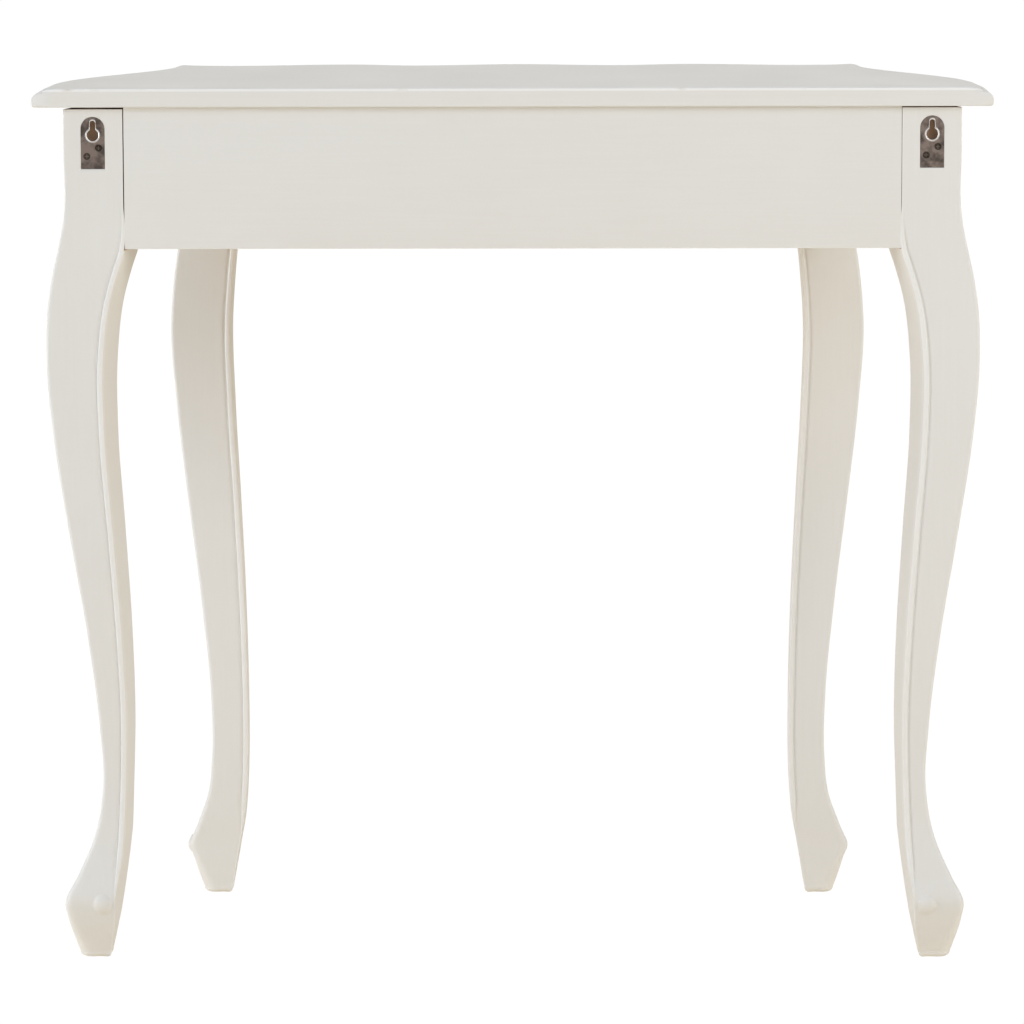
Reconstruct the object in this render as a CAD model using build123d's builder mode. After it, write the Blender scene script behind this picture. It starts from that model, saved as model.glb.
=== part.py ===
"""Three-drawer dressing table on cabriole legs, as separate wooden and metal pieces.

Millimetres. +Z is up, the floor is z = 0, and the origin is under the middle of the top.
The drawers open towards -Y, the flat back with the hanger plates faces +Y, and +X is the
side on the right of someone sitting at the table.
"""

from build123d import *
import os
from collections import namedtuple
from math import radians, tan

os.makedirs("parts", exist_ok=True)

# ---- driving dimensions ---------------------------------------------------------------
WIDTH = 870.0
DEPTH = 420.0
HEIGHT = 808.0

TOP_THICK = 17.0
TOP_UNDERSIDE = HEIGHT - TOP_THICK
BACK_OVERHANG = 7.0
BACK_Y = DEPTH / 2 - BACK_OVERHANG

APRON_THICK = 18.0
APRON_BOTTOM = 662.0
POST_GAP = 0.8
POST_TOP = TOP_UNDERSIDE - POST_GAP
POST_STRAIGHT = 700.0
CANT = 13.0
FRONT_INNER_CANT = 0.0
LEAN_FULL_Z = 120.0
SHOULDER_X = 300.0

REAR_POST_OUTER = 407.0
REAR_POST_INNER = 353.0
REAR_POST_FRONT = 147.0
FRONT_POST_OUTER = 322.0
FRONT_POST_INNER = 270.0
FRONT_POST_BACK = -120.0
FRONT_POST_FRONT = -172.0

RAIL_THICK = 18.0
RAIL_GAP = 0.5
BOTTOM_RAIL_TOP = 682.0
BOTTOM_RAIL_EDGE = 652.0
TOP_RAIL_BOTTOM = TOP_UNDERSIDE - RAIL_THICK

DIVIDER_X = 97.0
DIVIDER_WIDE = 18.0
RUNNER_WIDE = 44.0
GUIDE_HIGH = 20.0
OUTER_RUNNER_X = (250.0, 284.0)

FACE_SETBACK = 24.0
DRAWER_REVEAL = 1.5
DRAWER_LIFT = 0.5
DRAWER_BACK_Y = 130.0
DRAWER_SIDE_HIGH = 70.0
DRAWER_SIDE_THICK = 10.0
DRAWER_FRONT_INNER_Y = -150.0
DRAWER_BOTTOM_THICK = 4.0
DRAWER_GROOVE = 4.0
GROOVE_PLAY = 0.2

DOWEL_R = 4.0
DOWEL_LONG = 40.0
DOWEL_FIT = 0.05

KNOB_SEAT_R = 9.0
KNOB_R = 14.0
KNOB_LONG = 24.0
SCREW_R = 2.0
SCREW_CLEAR = 0.25
THREAD_FIT = 0.05

PLATE_X = 380.0
PLATE_TOP = 782.0
PLATE_WIDE = 21.6
PLATE_HIGH = 47.0
PLATE_THICK = 2.0
PLATE_FIT = 0.15
KEYHOLE_HEAD_R = 5.25
KEYHOLE_SLOT_R = 2.5
KEYHOLE_DROP = 16.5
KEYHOLE_SLOT_TOP = 5.8
RECESS_EXTRA = 1.5
RECESS_DEEP = 11.0
PLATE_HOLES = ((-5.2, -28.0), (5.4, -35.6))
PLATE_SCREW_LONG = 14.0
PLATE_SCREW_R = 1.5
PLATE_HEAD_R = 3.2

FRONT_BOWS = ((0.0, -210.0), (97.0, -188.5), (165.0, -209.0), (272.0, -187.5))

BLOCK_LOW = (285.0, BACK_Y - APRON_THICK)
BLOCK_HIGH = (362.0, 100.0)
BLOCK_Z = (735.0, 765.0)
BOLT_R = 4.0
BOLT_LONG = 72.0
BOLT_STAND = 11.0
WASHER_THICK = 1.6
NUT_THICK = 6.5
NUT_FLATS = 13.0

Bay = namedtuple("Bay", "name x0 x1 knob_x seat_y")

INNER_EDGE = DIVIDER_X - DIVIDER_WIDE / 2
OUTER_EDGE = DIVIDER_X + DIVIDER_WIDE / 2
SIDE_MIDDLE = (OUTER_EDGE + FRONT_POST_INNER) / 2
BAYS = (
    Bay("centre", -INNER_EDGE, INNER_EDGE, 0.0, -185.5),
    Bay("right", OUTER_EDGE, FRONT_POST_INNER, SIDE_MIDDLE, -181.5),
    Bay("left", -FRONT_POST_INNER, -OUTER_EDGE, -SIDE_MIDDLE, -181.5),
)
FRONT_LOW = BOTTOM_RAIL_TOP + DRAWER_REVEAL
FRONT_HIGH = TOP_RAIL_BOTTOM - DRAWER_REVEAL
KNOB_Z = (FRONT_LOW + FRONT_HIGH) / 2
SIDE_LOW = BOTTOM_RAIL_TOP + DRAWER_LIFT
PANEL_LOW = SIDE_LOW + 8.0
BOX_PLAY = 2.0
KNOB_SCREW_LONG = 45.0
KNOB_HEAD_R = 4.0
KNOB_HEAD_THICK = 2.5

DOWEL_HEIGHTS = (690.0, 730.0)
RAIL_MIDS = ((TOP_UNDERSIDE + TOP_RAIL_BOTTOM) / 2, BOTTOM_RAIL_TOP - 15.0)
RAIL_DOWEL_Y = -146.0
DIVIDER_DOWEL_Y = -141.0
SIDE_DOWEL_REAR_X = 378.0
SIDE_DOWEL_FRONT_X = 305.0
BEARER_DOWEL_LONG = 24.0
BEARER_Z = {"kicker": TOP_UNDERSIDE - RAIL_THICK / 2, "runner": BOTTOM_RAIL_TOP - RAIL_THICK / 2}
BEARER_EDGES = {
    "inner": (DIVIDER_X - RUNNER_WIDE / 2, DIVIDER_X + RUNNER_WIDE / 2),
    "outer": OUTER_RUNNER_X,
}
GUIDE_EDGES = {"inner": (INNER_EDGE, OUTER_EDGE), "outer": (FRONT_POST_INNER, OUTER_RUNNER_X[1])}
BEARER_DOWEL_X = {"inner": DIVIDER_X + 12.0, "outer": 260.0}
BEARER_ENDS = (FRONT_POST_BACK, BACK_Y - APRON_THICK)
TOP_SCREW_Y = (-60.0, 110.0)
TOP_SCREW_X = {"inner": DIVIDER_X, "outer": 267.0}

SIDES = {"right": 1, "left": -1}


def save(part, label):
    """Label one finished piece and write it as its own STEP file."""
    part.label = label
    export_step(part, f"parts/{label}.step")


def bow_points(setback, reach):
    """Points of the serpentine front from the middle out to reach, with a point halfway
    between each crest and hollow. setback moves the line back from the top's nose."""
    bows = list(FRONT_BOWS[:-1]) + [(reach, FRONT_BOWS[-1][1])]
    points = [bows[0]]
    for (x0, y0), (x1, y1) in zip(bows, bows[1:]):
        points += [((x0 + x1) / 2, (y0 + y1) / 2), (x1, y1)]
    return [(x, y + setback) for x, y in points]


def front_edge(setback, reach=FRONT_POST_INNER):
    """Draw the serpentine front edge from -reach to +reach inside a BuildLine."""
    for s in SIDES.values():
        points = [(s * x, y) for x, y in bow_points(setback, reach)]
        Spline(points, tangents=((s, 0.0), (s, 0.0)))


# ---- top ------------------------------------------------------------------------------
TopLevel = namedtuple("TopLevel", "z inset")

TOP_LEVELS = (
    TopLevel(TOP_UNDERSIDE, 3.0),
    TopLevel(TOP_UNDERSIDE + 3.0, 0.0),
    TopLevel(TOP_UNDERSIDE + 6.0, 0.0),
    TopLevel(TOP_UNDERSIDE + 11.0, 2.2),
    TopLevel(TOP_UNDERSIDE + 15.0, 9.5),
    TopLevel(HEIGHT, 19.5),
)


def top_outline(inset):
    """Draw the top's outline: straight back, S-curved sides, three-bow front.

    The sides and the front are moved in by inset, and the back edge stays where it is.
    """
    half = WIDTH / 2 - inset
    corner = (342.0 - inset, -204.0 + inset)
    ear = (320.0 - inset / 2, -193.0 + inset)
    shoulder_y = 130.0
    handle = 118.0
    back_y = DEPTH / 2
    for s in SIDES.values():
        Line((s * half, back_y), (s * half, shoulder_y))
        Bezier(
            (s * half, shoulder_y),
            (s * half, shoulder_y - handle),
            (s * corner[0], corner[1] + handle),
            (s * corner[0], corner[1]),
        )
        bows = bow_points(inset, FRONT_BOWS[-1][0]) + [ear, corner]
        Spline([(s * x, y) for x, y in bows], tangents=((s, 0.0), (s, -0.8)))
    Line((-half, back_y), (half, back_y))


def make_top(screws):
    """The top: a thin panel with a bevel and an ovolo along its sides and front."""
    pilot_deep = 13.0
    with BuildPart() as top:
        for level in TOP_LEVELS:
            with BuildSketch(Plane.XY.offset(level.z)):
                with BuildLine():
                    top_outline(level.inset)
                make_face()
        loft(ruled=True)
        with BuildSketch(Plane.XY.offset(TOP_UNDERSIDE)):
            with Locations(*screws):
                Circle(SCREW_R + THREAD_FIT)
        extrude(amount=pilot_deep, mode=Mode.SUBTRACT)
    return top.part


# ---- legs -----------------------------------------------------------------------------
Section = namedtuple("Section", "z outer inner back front corner_r")

REAR_SECTIONS = (
    Section(POST_STRAIGHT, 407.0, 353.0, 203.0, 147.0, 3.0),
    Section(681.0, 409.5, 353.0, 203.0, 147.0, 3.0),
    Section(662.0, 413.5, 355.5, 203.0, 147.0, 3.0),
    Section(640.0, 418.5, 363.0, 203.0, 147.0, 3.5),
    Section(615.0, 423.0, 371.0, 203.0, 146.5, 4.0),
    Section(560.0, 425.5, 377.5, 203.0, 146.0, 4.0),
    Section(490.0, 420.0, 377.0, 203.0, 149.0, 4.0),
    Section(400.0, 407.0, 369.5, 200.5, 150.0, 4.0),
    Section(300.0, 391.5, 363.0, 193.5, 148.0, 4.0),
    Section(220.0, 382.8, 360.5, 186.0, 145.5, 4.0),
    Section(160.0, 380.5, 360.8, 182.5, 144.0, 4.0),
    Section(112.0, 390.0, 363.5, 185.0, 143.0, 5.0),
    Section(80.0, 404.0, 367.0, 191.5, 143.5, 6.0),
    Section(55.0, 416.0, 368.5, 196.0, 144.0, 7.0),
    Section(41.0, 414.0, 369.5, 191.5, 143.0, 9.0),
    Section(27.0, 411.0, 371.0, 185.0, 141.5, 11.0),
    Section(13.0, 407.0, 373.0, 177.5, 139.0, 12.5),
    Section(0.0, 403.0, 375.5, 170.5, 136.5, 12.5),
)

FRONT_SECTIONS = (
    Section(POST_STRAIGHT, 322.0, 270.0, -120.0, -172.0, 3.0),
    Section(675.0, 323.0, 270.0, -120.3, -173.0, 3.0),
    Section(650.0, 325.8, 271.0, -121.2, -175.8, 3.0),
    Section(610.0, 332.0, 275.0, -123.5, -183.0, 4.0),
    Section(560.0, 336.0, 278.5, -126.0, -187.0, 4.0),
    Section(480.0, 331.0, 276.5, -124.5, -182.0, 4.0),
    Section(390.0, 320.8, 271.5, -121.0, -172.5, 4.0),
    Section(290.0, 308.5, 266.5, -116.5, -160.5, 4.0),
    Section(200.0, 300.2, 264.0, -114.0, -152.0, 4.0),
    Section(140.0, 299.4, 264.0, -114.0, -151.0, 4.0),
    Section(98.0, 304.5, 266.0, -116.5, -157.0, 5.0),
    Section(70.0, 314.5, 269.0, -119.5, -168.0, 6.0),
    Section(46.0, 322.3, 273.5, -123.0, -177.0, 7.0),
    Section(34.0, 318.5, 275.5, -124.0, -173.0, 9.0),
    Section(22.0, 315.0, 277.5, -125.5, -168.5, 10.5),
    Section(10.0, 311.0, 279.5, -127.0, -163.0, 12.0),
    Section(0.0, 307.0, 281.5, -128.0, -158.0, 12.0),
)


def leg_loft(sections, s, inner_cant):
    """Loft one curved leg through rounded four-sided sections inside a BuildPart."""
    outlines = []
    for cut in sections:
        run = cut.back - cut.front
        share = min(1.0, cut.z / LEAN_FULL_Z)
        outer_lean = run * tan(radians(CANT)) * share
        inner_lean = run * tan(radians(inner_cant)) * share
        corners = (
            (s * cut.outer, cut.back),
            (s * (cut.outer - outer_lean), cut.front),
            (s * (cut.inner - inner_lean), cut.front),
            (s * cut.inner, cut.back),
        )
        with BuildSketch(Plane.XY.offset(cut.z)) as outline:
            with BuildLine():
                Polyline(*corners, close=True)
            make_face()
            fillet(outline.vertices(), cut.corner_r)
        outlines.append(outline.sketch)
    loft(outlines)


def plane_off(s, edges_x, edges_y, low_z):
    """Plane a leg flat above low_z where a board meets it, inside a BuildPart."""
    with BuildSketch(Plane.XY.offset(low_z)) as waste:
        with Locations((s * sum(edges_x) / 2, sum(edges_y) / 2)):
            Rectangle(edges_x[1] - edges_x[0], edges_y[1] - edges_y[0])
    extrude(waste.sketch, amount=HEIGHT - low_z, mode=Mode.SUBTRACT)


def post(s, outer, inner, back, front, square_inside):
    """Extrude the straight top of a leg inside a BuildPart."""
    lean = (back - front) * tan(radians(CANT))
    inner_lean = 0.0 if square_inside else lean
    with BuildSketch(Plane.XY.offset(POST_STRAIGHT)) as outline:
        with BuildLine():
            Polyline(
                (s * outer, back),
                (s * (outer - lean), front),
                (s * (inner - inner_lean), front),
                (s * inner, back),
                close=True,
            )
        make_face()
    extrude(outline.sketch, amount=POST_TOP - POST_STRAIGHT)


def make_rear_leg(s, dowels, bolt):
    """Rear leg: flat-backed cabriole with the hanger plate's pocket and its bored recess."""
    with BuildPart() as leg:
        leg_loft(REAR_SECTIONS, s, CANT)
        post(s, REAR_POST_OUTER, REAR_POST_INNER, BACK_Y, REAR_POST_FRONT, False)
        apron_low = APRON_BOTTOM - RAIL_GAP
        apron_inner_y = BACK_Y - APRON_THICK - RAIL_GAP
        plane_off(s, (SHOULDER_X, REAR_POST_INNER), (apron_inner_y, DEPTH / 2), apron_low)
        plane_off(s, (SHOULDER_X, WIDTH / 2), (0.0, REAR_POST_FRONT), apron_low)
        with BuildSketch(plate_plane(s)):
            plate_outline(PLATE_FIT)
        extrude(amount=PLATE_THICK + PLATE_FIT, mode=Mode.SUBTRACT)
        with BuildSketch(plate_plane(s)):
            keyhole_outline(RECESS_EXTRA)
        extrude(amount=RECESS_DEEP, mode=Mode.SUBTRACT)
        with BuildSketch(plate_plane(s)):
            with Locations(*PLATE_HOLES):
                Circle(PLATE_SCREW_R + THREAD_FIT)
        extrude(amount=PLATE_SCREW_LONG + 1.0, mode=Mode.SUBTRACT)
        drill(dowels)
        drill([bolt])
    return leg.part


def make_front_leg(s, dowels):
    """Front leg: cabriole that swells and flares both sideways and to the front."""
    with BuildPart() as leg:
        leg_loft(FRONT_SECTIONS, s, FRONT_INNER_CANT)
        post(
            s,
            FRONT_POST_OUTER,
            FRONT_POST_INNER,
            FRONT_POST_BACK,
            FRONT_POST_FRONT,
            True,
        )
        plane_off(s, (0.0, FRONT_POST_INNER), (-DEPTH, 0.0), BOTTOM_RAIL_EDGE - RAIL_GAP)
        plane_off(s, (0.0, WIDTH / 2), (FRONT_POST_BACK, DEPTH / 2), APRON_BOTTOM - RAIL_GAP)
        drill(dowels)
    return leg.part


# ---- round pins and holes -------------------------------------------------------------
Rod = namedtuple("Rod", "start direction length radius")


def rod_plane(rod):
    """The plane at a rod's start whose normal runs along the rod."""
    return Plane(origin=rod.start, z_dir=rod.direction)


def drill(rods, play=DOWEL_FIT):
    """Cut a slightly larger round hole for each rod inside a BuildPart."""
    for rod in rods:
        with BuildSketch(rod_plane(rod).offset(-play)) as mouth:
            Circle(rod.radius + play)
        extrude(mouth.sketch, amount=rod.length + 2 * play, mode=Mode.SUBTRACT)


def make_dowels(rods):
    """Chamfered beech dowels, one solid for each joint."""
    bevel = 1.0
    with BuildPart() as dowels:
        for rod in rods:
            with BuildSketch(rod_plane(rod)):
                Circle(rod.radius)
            extrude(amount=rod.length)
        chamfer(dowels.edges().filter_by(GeomType.CIRCLE), bevel)
    return dowels.part


def across(x, y, z, s):
    """A dowel along X, centred on x, that runs outwards on side s."""
    return Rod((x - s * DOWEL_LONG / 2, y, z), (s, 0, 0), DOWEL_LONG, DOWEL_R)


def along(x, y, z, length=DOWEL_LONG):
    """A dowel along Y, centred on y."""
    return Rod((x, y - length / 2, z), (0, 1, 0), length, DOWEL_R)


def upright(x, y, z, length=28.0):
    """A short dowel along Z, centred on z."""
    return Rod((x, y, z - length / 2), (0, 0, 1), length, DOWEL_R)


# ---- hanger plates --------------------------------------------------------------------
def plate_plane(s):
    """The plane on a plate's outer face, from the middle of its top edge into the post."""
    return Plane(origin=(s * PLATE_X, BACK_Y, PLATE_TOP), x_dir=(1, 0, 0), z_dir=(0, -1, 0))


def plate_outline(grow):
    """Draw the plate's outline, a round top and a square foot, inside a BuildSketch."""
    half = PLATE_WIDE / 2 + grow
    foot = -PLATE_HIGH - grow
    shoulder = -PLATE_WIDE / 2
    with BuildLine() as outline:
        Line((-half, foot), (half, foot))
        Line((half, foot), (half, shoulder))
        ThreePointArc((half, shoulder), (0, grow), (-half, shoulder))
        Line((-half, shoulder), (-half, foot))
    make_face(outline.edges())


def keyhole_outline(grow):
    """Draw the keyhole, a round head below and a narrow slot above, inside a BuildSketch."""
    with Locations((0, -KEYHOLE_DROP)):
        Circle(KEYHOLE_HEAD_R + grow)
    slot_long = KEYHOLE_DROP - KEYHOLE_SLOT_TOP
    with Locations((0, -KEYHOLE_SLOT_TOP - slot_long / 2)):
        SlotCenterToCenter(slot_long, 2 * (KEYHOLE_SLOT_R + grow), rotation=90)


def make_hanger_plate(s):
    """Flush keyhole hanger: a thin steel plate with a keyhole and two countersunk holes."""
    hole_r = PLATE_SCREW_R + 0.1
    with BuildPart() as plate:
        with BuildSketch(plate_plane(s)):
            plate_outline(0.0)
        extrude(amount=PLATE_THICK)
        with BuildSketch(plate_plane(s)):
            keyhole_outline(0.0)
        extrude(amount=PLATE_THICK, mode=Mode.SUBTRACT)
        with BuildSketch(plate_plane(s)):
            with Locations(*PLATE_HOLES):
                Circle(hole_r)
        extrude(amount=PLATE_THICK, mode=Mode.SUBTRACT)
        face = plate.faces().sort_by(Axis.Y)[-1]
        rims = [e for e in face.edges().filter_by(GeomType.CIRCLE) if abs(e.radius - hole_r) < 0.01]
        chamfer(rims, PLATE_HEAD_R - hole_r + 0.05)
    return plate.part


def countersunk_screw(head_plane, shank_r, head_r, length):
    """Add one countersunk cross-head screw, head on the plane, inside a BuildPart."""
    cone = head_r - shank_r
    cross_long = head_r * 1.1
    cross_wide = head_r * 0.24
    cross_deep = head_r * 0.35
    with BuildSketch(head_plane) as rim:
        Circle(head_r)
    with BuildSketch(head_plane.offset(cone)) as neck:
        Circle(shank_r)
    loft([rim.sketch, neck.sketch])
    extrude(neck.sketch, amount=length - cone)
    with BuildSketch(head_plane) as cross:
        Rectangle(cross_long, cross_wide)
        Rectangle(cross_wide, cross_long)
    extrude(cross.sketch, amount=cross_deep, mode=Mode.SUBTRACT)


def make_plate_screws():
    """Two small countersunk screws in each hanger plate."""
    with BuildPart() as screws:
        for s in SIDES.values():
            for x, z in PLATE_HOLES:
                place = Plane(
                    origin=(s * PLATE_X + x, BACK_Y, PLATE_TOP + z), x_dir=(1, 0, 0), z_dir=(0, -1, 0)
                )
                countersunk_screw(place, PLATE_SCREW_R, PLATE_HEAD_R, PLATE_SCREW_LONG)
    return screws.part


# ---- frame boards ---------------------------------------------------------------------
def make_rear_apron(dowels):
    """Flat rear apron, flush with the backs of the rear posts."""
    half = REAR_POST_INNER - POST_GAP
    with BuildPart() as apron:
        with BuildSketch(Plane.XY.offset(APRON_BOTTOM)):
            with Locations((0, BACK_Y - APRON_THICK / 2)):
                Rectangle(2 * half, APRON_THICK)
        extrude(amount=TOP_UNDERSIDE - APRON_BOTTOM)
        drill(dowels)
    return apron.part


def make_side_apron(s, dowels):
    """S-curved side apron between the rear post and the narrower front post."""
    rear = (s * 389.0, REAR_POST_FRONT)
    front = (s * 314.0, FRONT_POST_BACK)
    handle = 95.0
    inward = -s * APRON_THICK
    with BuildPart() as apron:
        with BuildSketch(Plane.XY.offset(APRON_BOTTOM)):
            with BuildLine():
                for shift in (0.0, inward):
                    Bezier(
                        (rear[0] + shift, rear[1]),
                        (rear[0] + shift, rear[1] - handle),
                        (front[0] + shift, front[1] + handle),
                        (front[0] + shift, front[1]),
                    )
                Line(rear, (rear[0] + inward, rear[1]))
                Line(front, (front[0] + inward, front[1]))
            make_face()
        extrude(amount=TOP_UNDERSIDE - APRON_BOTTOM)
        drill(dowels)
    return apron.part


def serpentine_board(x0, x1, back_y, z0, z1):
    """Extrude a board with the serpentine front between x0 and x1, inside a BuildPart."""
    reach = FRONT_POST_INNER
    end_y = FRONT_BOWS[-1][1] + FACE_SETBACK
    with BuildSketch(Plane.XY.offset(z0)) as board:
        with BuildLine():
            front_edge(FACE_SETBACK, reach)
            Line((reach, end_y), (reach, back_y))
            Line((reach, back_y), (-reach, back_y))
            Line((-reach, back_y), (-reach, end_y))
        make_face()
        with Locations(((x0 + x1) / 2, back_y)):
            Rectangle(x1 - x0, DEPTH, mode=Mode.INTERSECT)
    extrude(board.sketch, amount=z1 - z0)


def make_top_rail(dowels):
    """Thin front rail above the drawers, between the front posts."""
    half = FRONT_POST_INNER - RAIL_GAP
    with BuildPart() as rail:
        serpentine_board(-half, half, FRONT_POST_BACK, TOP_RAIL_BOTTOM, TOP_UNDERSIDE)
        drill(dowels)
    return rail.part


def make_bottom_rail(dowels):
    """Front rail below the drawers, its lower edge rising in a long shallow arch."""
    half = FRONT_POST_INNER - RAIL_GAP
    arch_half = 225.0
    arch_rise = 12.0
    with BuildPart() as rail:
        serpentine_board(-half, half, FRONT_POST_BACK, BOTTOM_RAIL_EDGE, BOTTOM_RAIL_TOP)
        with BuildSketch(Plane.XZ):
            with BuildLine():
                ThreePointArc(
                    (-arch_half, BOTTOM_RAIL_EDGE),
                    (0, BOTTOM_RAIL_EDGE + arch_rise),
                    (arch_half, BOTTOM_RAIL_EDGE),
                )
                Line((arch_half, BOTTOM_RAIL_EDGE), (-arch_half, BOTTOM_RAIL_EDGE))
            make_face()
        extrude(amount=DEPTH, both=True, mode=Mode.SUBTRACT)
        drill(dowels)
    return rail.part


def make_divider(s, dowels):
    """Upright stile between two drawers."""
    edges = sorted((s * (DIVIDER_X - DIVIDER_WIDE / 2), s * (DIVIDER_X + DIVIDER_WIDE / 2)))
    with BuildPart() as divider:
        serpentine_board(edges[0], edges[1], FRONT_POST_BACK, BOTTOM_RAIL_TOP, TOP_RAIL_BOTTOM)
        drill(dowels)
    return divider.part


def bearer(x0, x1, z0, z1):
    """Extrude one front-to-back bar inside a BuildPart."""
    front, back = FRONT_POST_BACK, BACK_Y - APRON_THICK
    with BuildSketch(Plane.XY.offset(z0)) as bar:
        with Locations(((x0 + x1) / 2, (front + back) / 2)):
            Rectangle(abs(x1 - x0), back - front)
    extrude(bar.sketch, amount=z1 - z0)


def make_runner(edges, guide, dowels):
    """Drawer runner: a flat bar with a raised guide that keeps the drawers straight."""
    with BuildPart() as runner:
        bearer(edges[0], edges[1], BOTTOM_RAIL_TOP - RAIL_THICK, BOTTOM_RAIL_TOP)
        bearer(guide[0], guide[1], BOTTOM_RAIL_TOP, BOTTOM_RAIL_TOP + GUIDE_HIGH)
        drill(dowels)
    return runner.part


def make_kicker(edges, dowels, screws):
    """Bar under the top that stops an open drawer from tipping and carries the top's screws."""
    with BuildPart() as kicker:
        bearer(edges[0], edges[1], TOP_RAIL_BOTTOM, TOP_UNDERSIDE)
        drill(dowels)
        with BuildSketch(Plane.XY.offset(TOP_RAIL_BOTTOM)):
            with Locations(*screws):
                Circle(SCREW_R + SCREW_CLEAR)
        extrude(amount=RAIL_THICK, mode=Mode.SUBTRACT)
        lower = kicker.faces().sort_by(Axis.Z)[0]
        chamfer(lower.edges().filter_by(GeomType.CIRCLE), SCREW_R + 0.05)
    return kicker.part


def make_top_screws(screws):
    """Countersunk screws that hold the top from below, through the kickers."""
    length = 28.0
    with BuildPart() as group:
        for x, y in screws:
            place = Plane(origin=(x, y, TOP_RAIL_BOTTOM), x_dir=(1, 0, 0), z_dir=(0, 0, 1))
            countersunk_screw(place, SCREW_R, 2 * SCREW_R, length)
    return group.part


# ---- rear corner blocks ---------------------------------------------------------------


def bolt_plane(s):
    """The plane on a corner block's long face, its normal towards the leg."""
    mid_x = (BLOCK_LOW[0] + BLOCK_HIGH[0]) / 2
    mid_y = (BLOCK_LOW[1] + BLOCK_HIGH[1]) / 2
    run_x = BLOCK_HIGH[0] - BLOCK_LOW[0]
    run_y = BLOCK_LOW[1] - BLOCK_HIGH[1]
    z = sum(BLOCK_Z) / 2
    return Plane(origin=(s * mid_x, mid_y, z), x_dir=(0, 0, 1), z_dir=(s * run_y, run_x, 0))


def bolt_rod(s):
    """The hanger bolt's shank as a rod, from behind the nut to deep in the leg."""
    plane = bolt_plane(s).offset(-BOLT_STAND)
    return Rod(plane.origin, plane.z_dir, BOLT_LONG, BOLT_R)


def make_corner_block(s):
    """Diagonal block that pulls a rear leg into the corner of the two aprons."""
    leg_gap = 1.5
    inner_x = REAR_POST_INNER - 15.0
    notch_y = REAR_POST_FRONT - leg_gap
    with BuildPart() as block:
        with BuildSketch(Plane.XY.offset(BLOCK_Z[0])):
            with BuildLine():
                Polyline(
                    (s * BLOCK_LOW[0], BLOCK_LOW[1]),
                    (s * inner_x, BLOCK_LOW[1]),
                    (s * inner_x, notch_y),
                    (s * 369.0, notch_y),
                    (s * BLOCK_HIGH[0], BLOCK_HIGH[1]),
                    close=True,
                )
            make_face()
        extrude(amount=BLOCK_Z[1] - BLOCK_Z[0])
        drill([bolt_rod(s)], play=0.5)
    return block.part


def make_hanger_bolts():
    """Headless bolts, one end screwed into each rear leg."""
    with BuildPart() as bolts:
        for s in SIDES.values():
            with BuildSketch(rod_plane(bolt_rod(s))):
                Circle(BOLT_R)
            extrude(amount=BOLT_LONG)
        chamfer(bolts.edges().filter_by(GeomType.CIRCLE), 0.8)
    return bolts.part


def make_bolt_washers():
    """Flat washers on the corner blocks' long faces."""
    with BuildPart() as washers:
        for s in SIDES.values():
            with BuildSketch(bolt_plane(s)):
                Circle(2 * BOLT_R)
                Circle(BOLT_R + 0.3, mode=Mode.SUBTRACT)
            extrude(amount=-WASHER_THICK)
    return washers.part


def make_bolt_nuts():
    """Hexagon nuts on the hanger bolts."""
    with BuildPart() as nuts:
        for s in SIDES.values():
            with BuildSketch(bolt_plane(s).offset(-WASHER_THICK)):
                RegularPolygon(NUT_FLATS / 2, 6, major_radius=False)
                Circle(BOLT_R + THREAD_FIT, mode=Mode.SUBTRACT)
            extrude(amount=-NUT_THICK)
    return nuts.part


# ---- drawers --------------------------------------------------------------------------


def box_edges(bay):
    """Outer edges of a drawer box between its guides."""
    return bay.x0 + BOX_PLAY, bay.x1 - BOX_PLAY


def panel_edges(bay):
    """Side edges of a drawer's bottom panel in its grooves."""
    inset = DRAWER_SIDE_THICK - DRAWER_GROOVE + GROOVE_PLAY
    low, high = box_edges(bay)
    return low + inset, high - inset


def cut_groove(bay):
    """Cut the bottom panel's groove through whatever stands there, inside a BuildPart."""
    low, high = panel_edges(bay)
    front = DRAWER_FRONT_INNER_Y - DRAWER_GROOVE
    with BuildSketch(Plane.XY.offset(PANEL_LOW)) as groove:
        with Locations(((low + high) / 2, (front + DRAWER_BACK_Y) / 2)):
            Rectangle(high - low + 2 * GROOVE_PLAY, DRAWER_BACK_Y - front)
    extrude(groove.sketch, amount=DRAWER_BOTTOM_THICK + GROOVE_PLAY, mode=Mode.SUBTRACT)


def make_drawer_front(bay):
    """Bowed drawer front with a flat seat and a clearance hole for the knob."""
    knob_plane = Plane(origin=(bay.knob_x, bay.seat_y, KNOB_Z), x_dir=(1, 0, 0), z_dir=(0, -1, 0))
    with BuildPart() as front:
        serpentine_board(
            bay.x0 + DRAWER_REVEAL, bay.x1 - DRAWER_REVEAL, DRAWER_FRONT_INNER_Y, FRONT_LOW, FRONT_HIGH
        )
        with BuildSketch(knob_plane):
            Circle(KNOB_SEAT_R + 0.5)
        extrude(amount=KNOB_LONG, mode=Mode.SUBTRACT)
        with BuildSketch(knob_plane):
            Circle(SCREW_R + SCREW_CLEAR)
        extrude(amount=-DEPTH / 4, mode=Mode.SUBTRACT)
        cut_groove(bay)
    return front.part


def make_drawer_side(bay, inner_x, outer_x):
    """Drawer side with the groove for the bottom panel."""
    with BuildPart() as side:
        with BuildSketch(Plane.XY.offset(SIDE_LOW)):
            with Locations(((inner_x + outer_x) / 2, (DRAWER_FRONT_INNER_Y + DRAWER_BACK_Y) / 2)):
                Rectangle(abs(outer_x - inner_x), DRAWER_BACK_Y - DRAWER_FRONT_INNER_Y)
        extrude(amount=DRAWER_SIDE_HIGH)
        cut_groove(bay)
    return side.part


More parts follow.
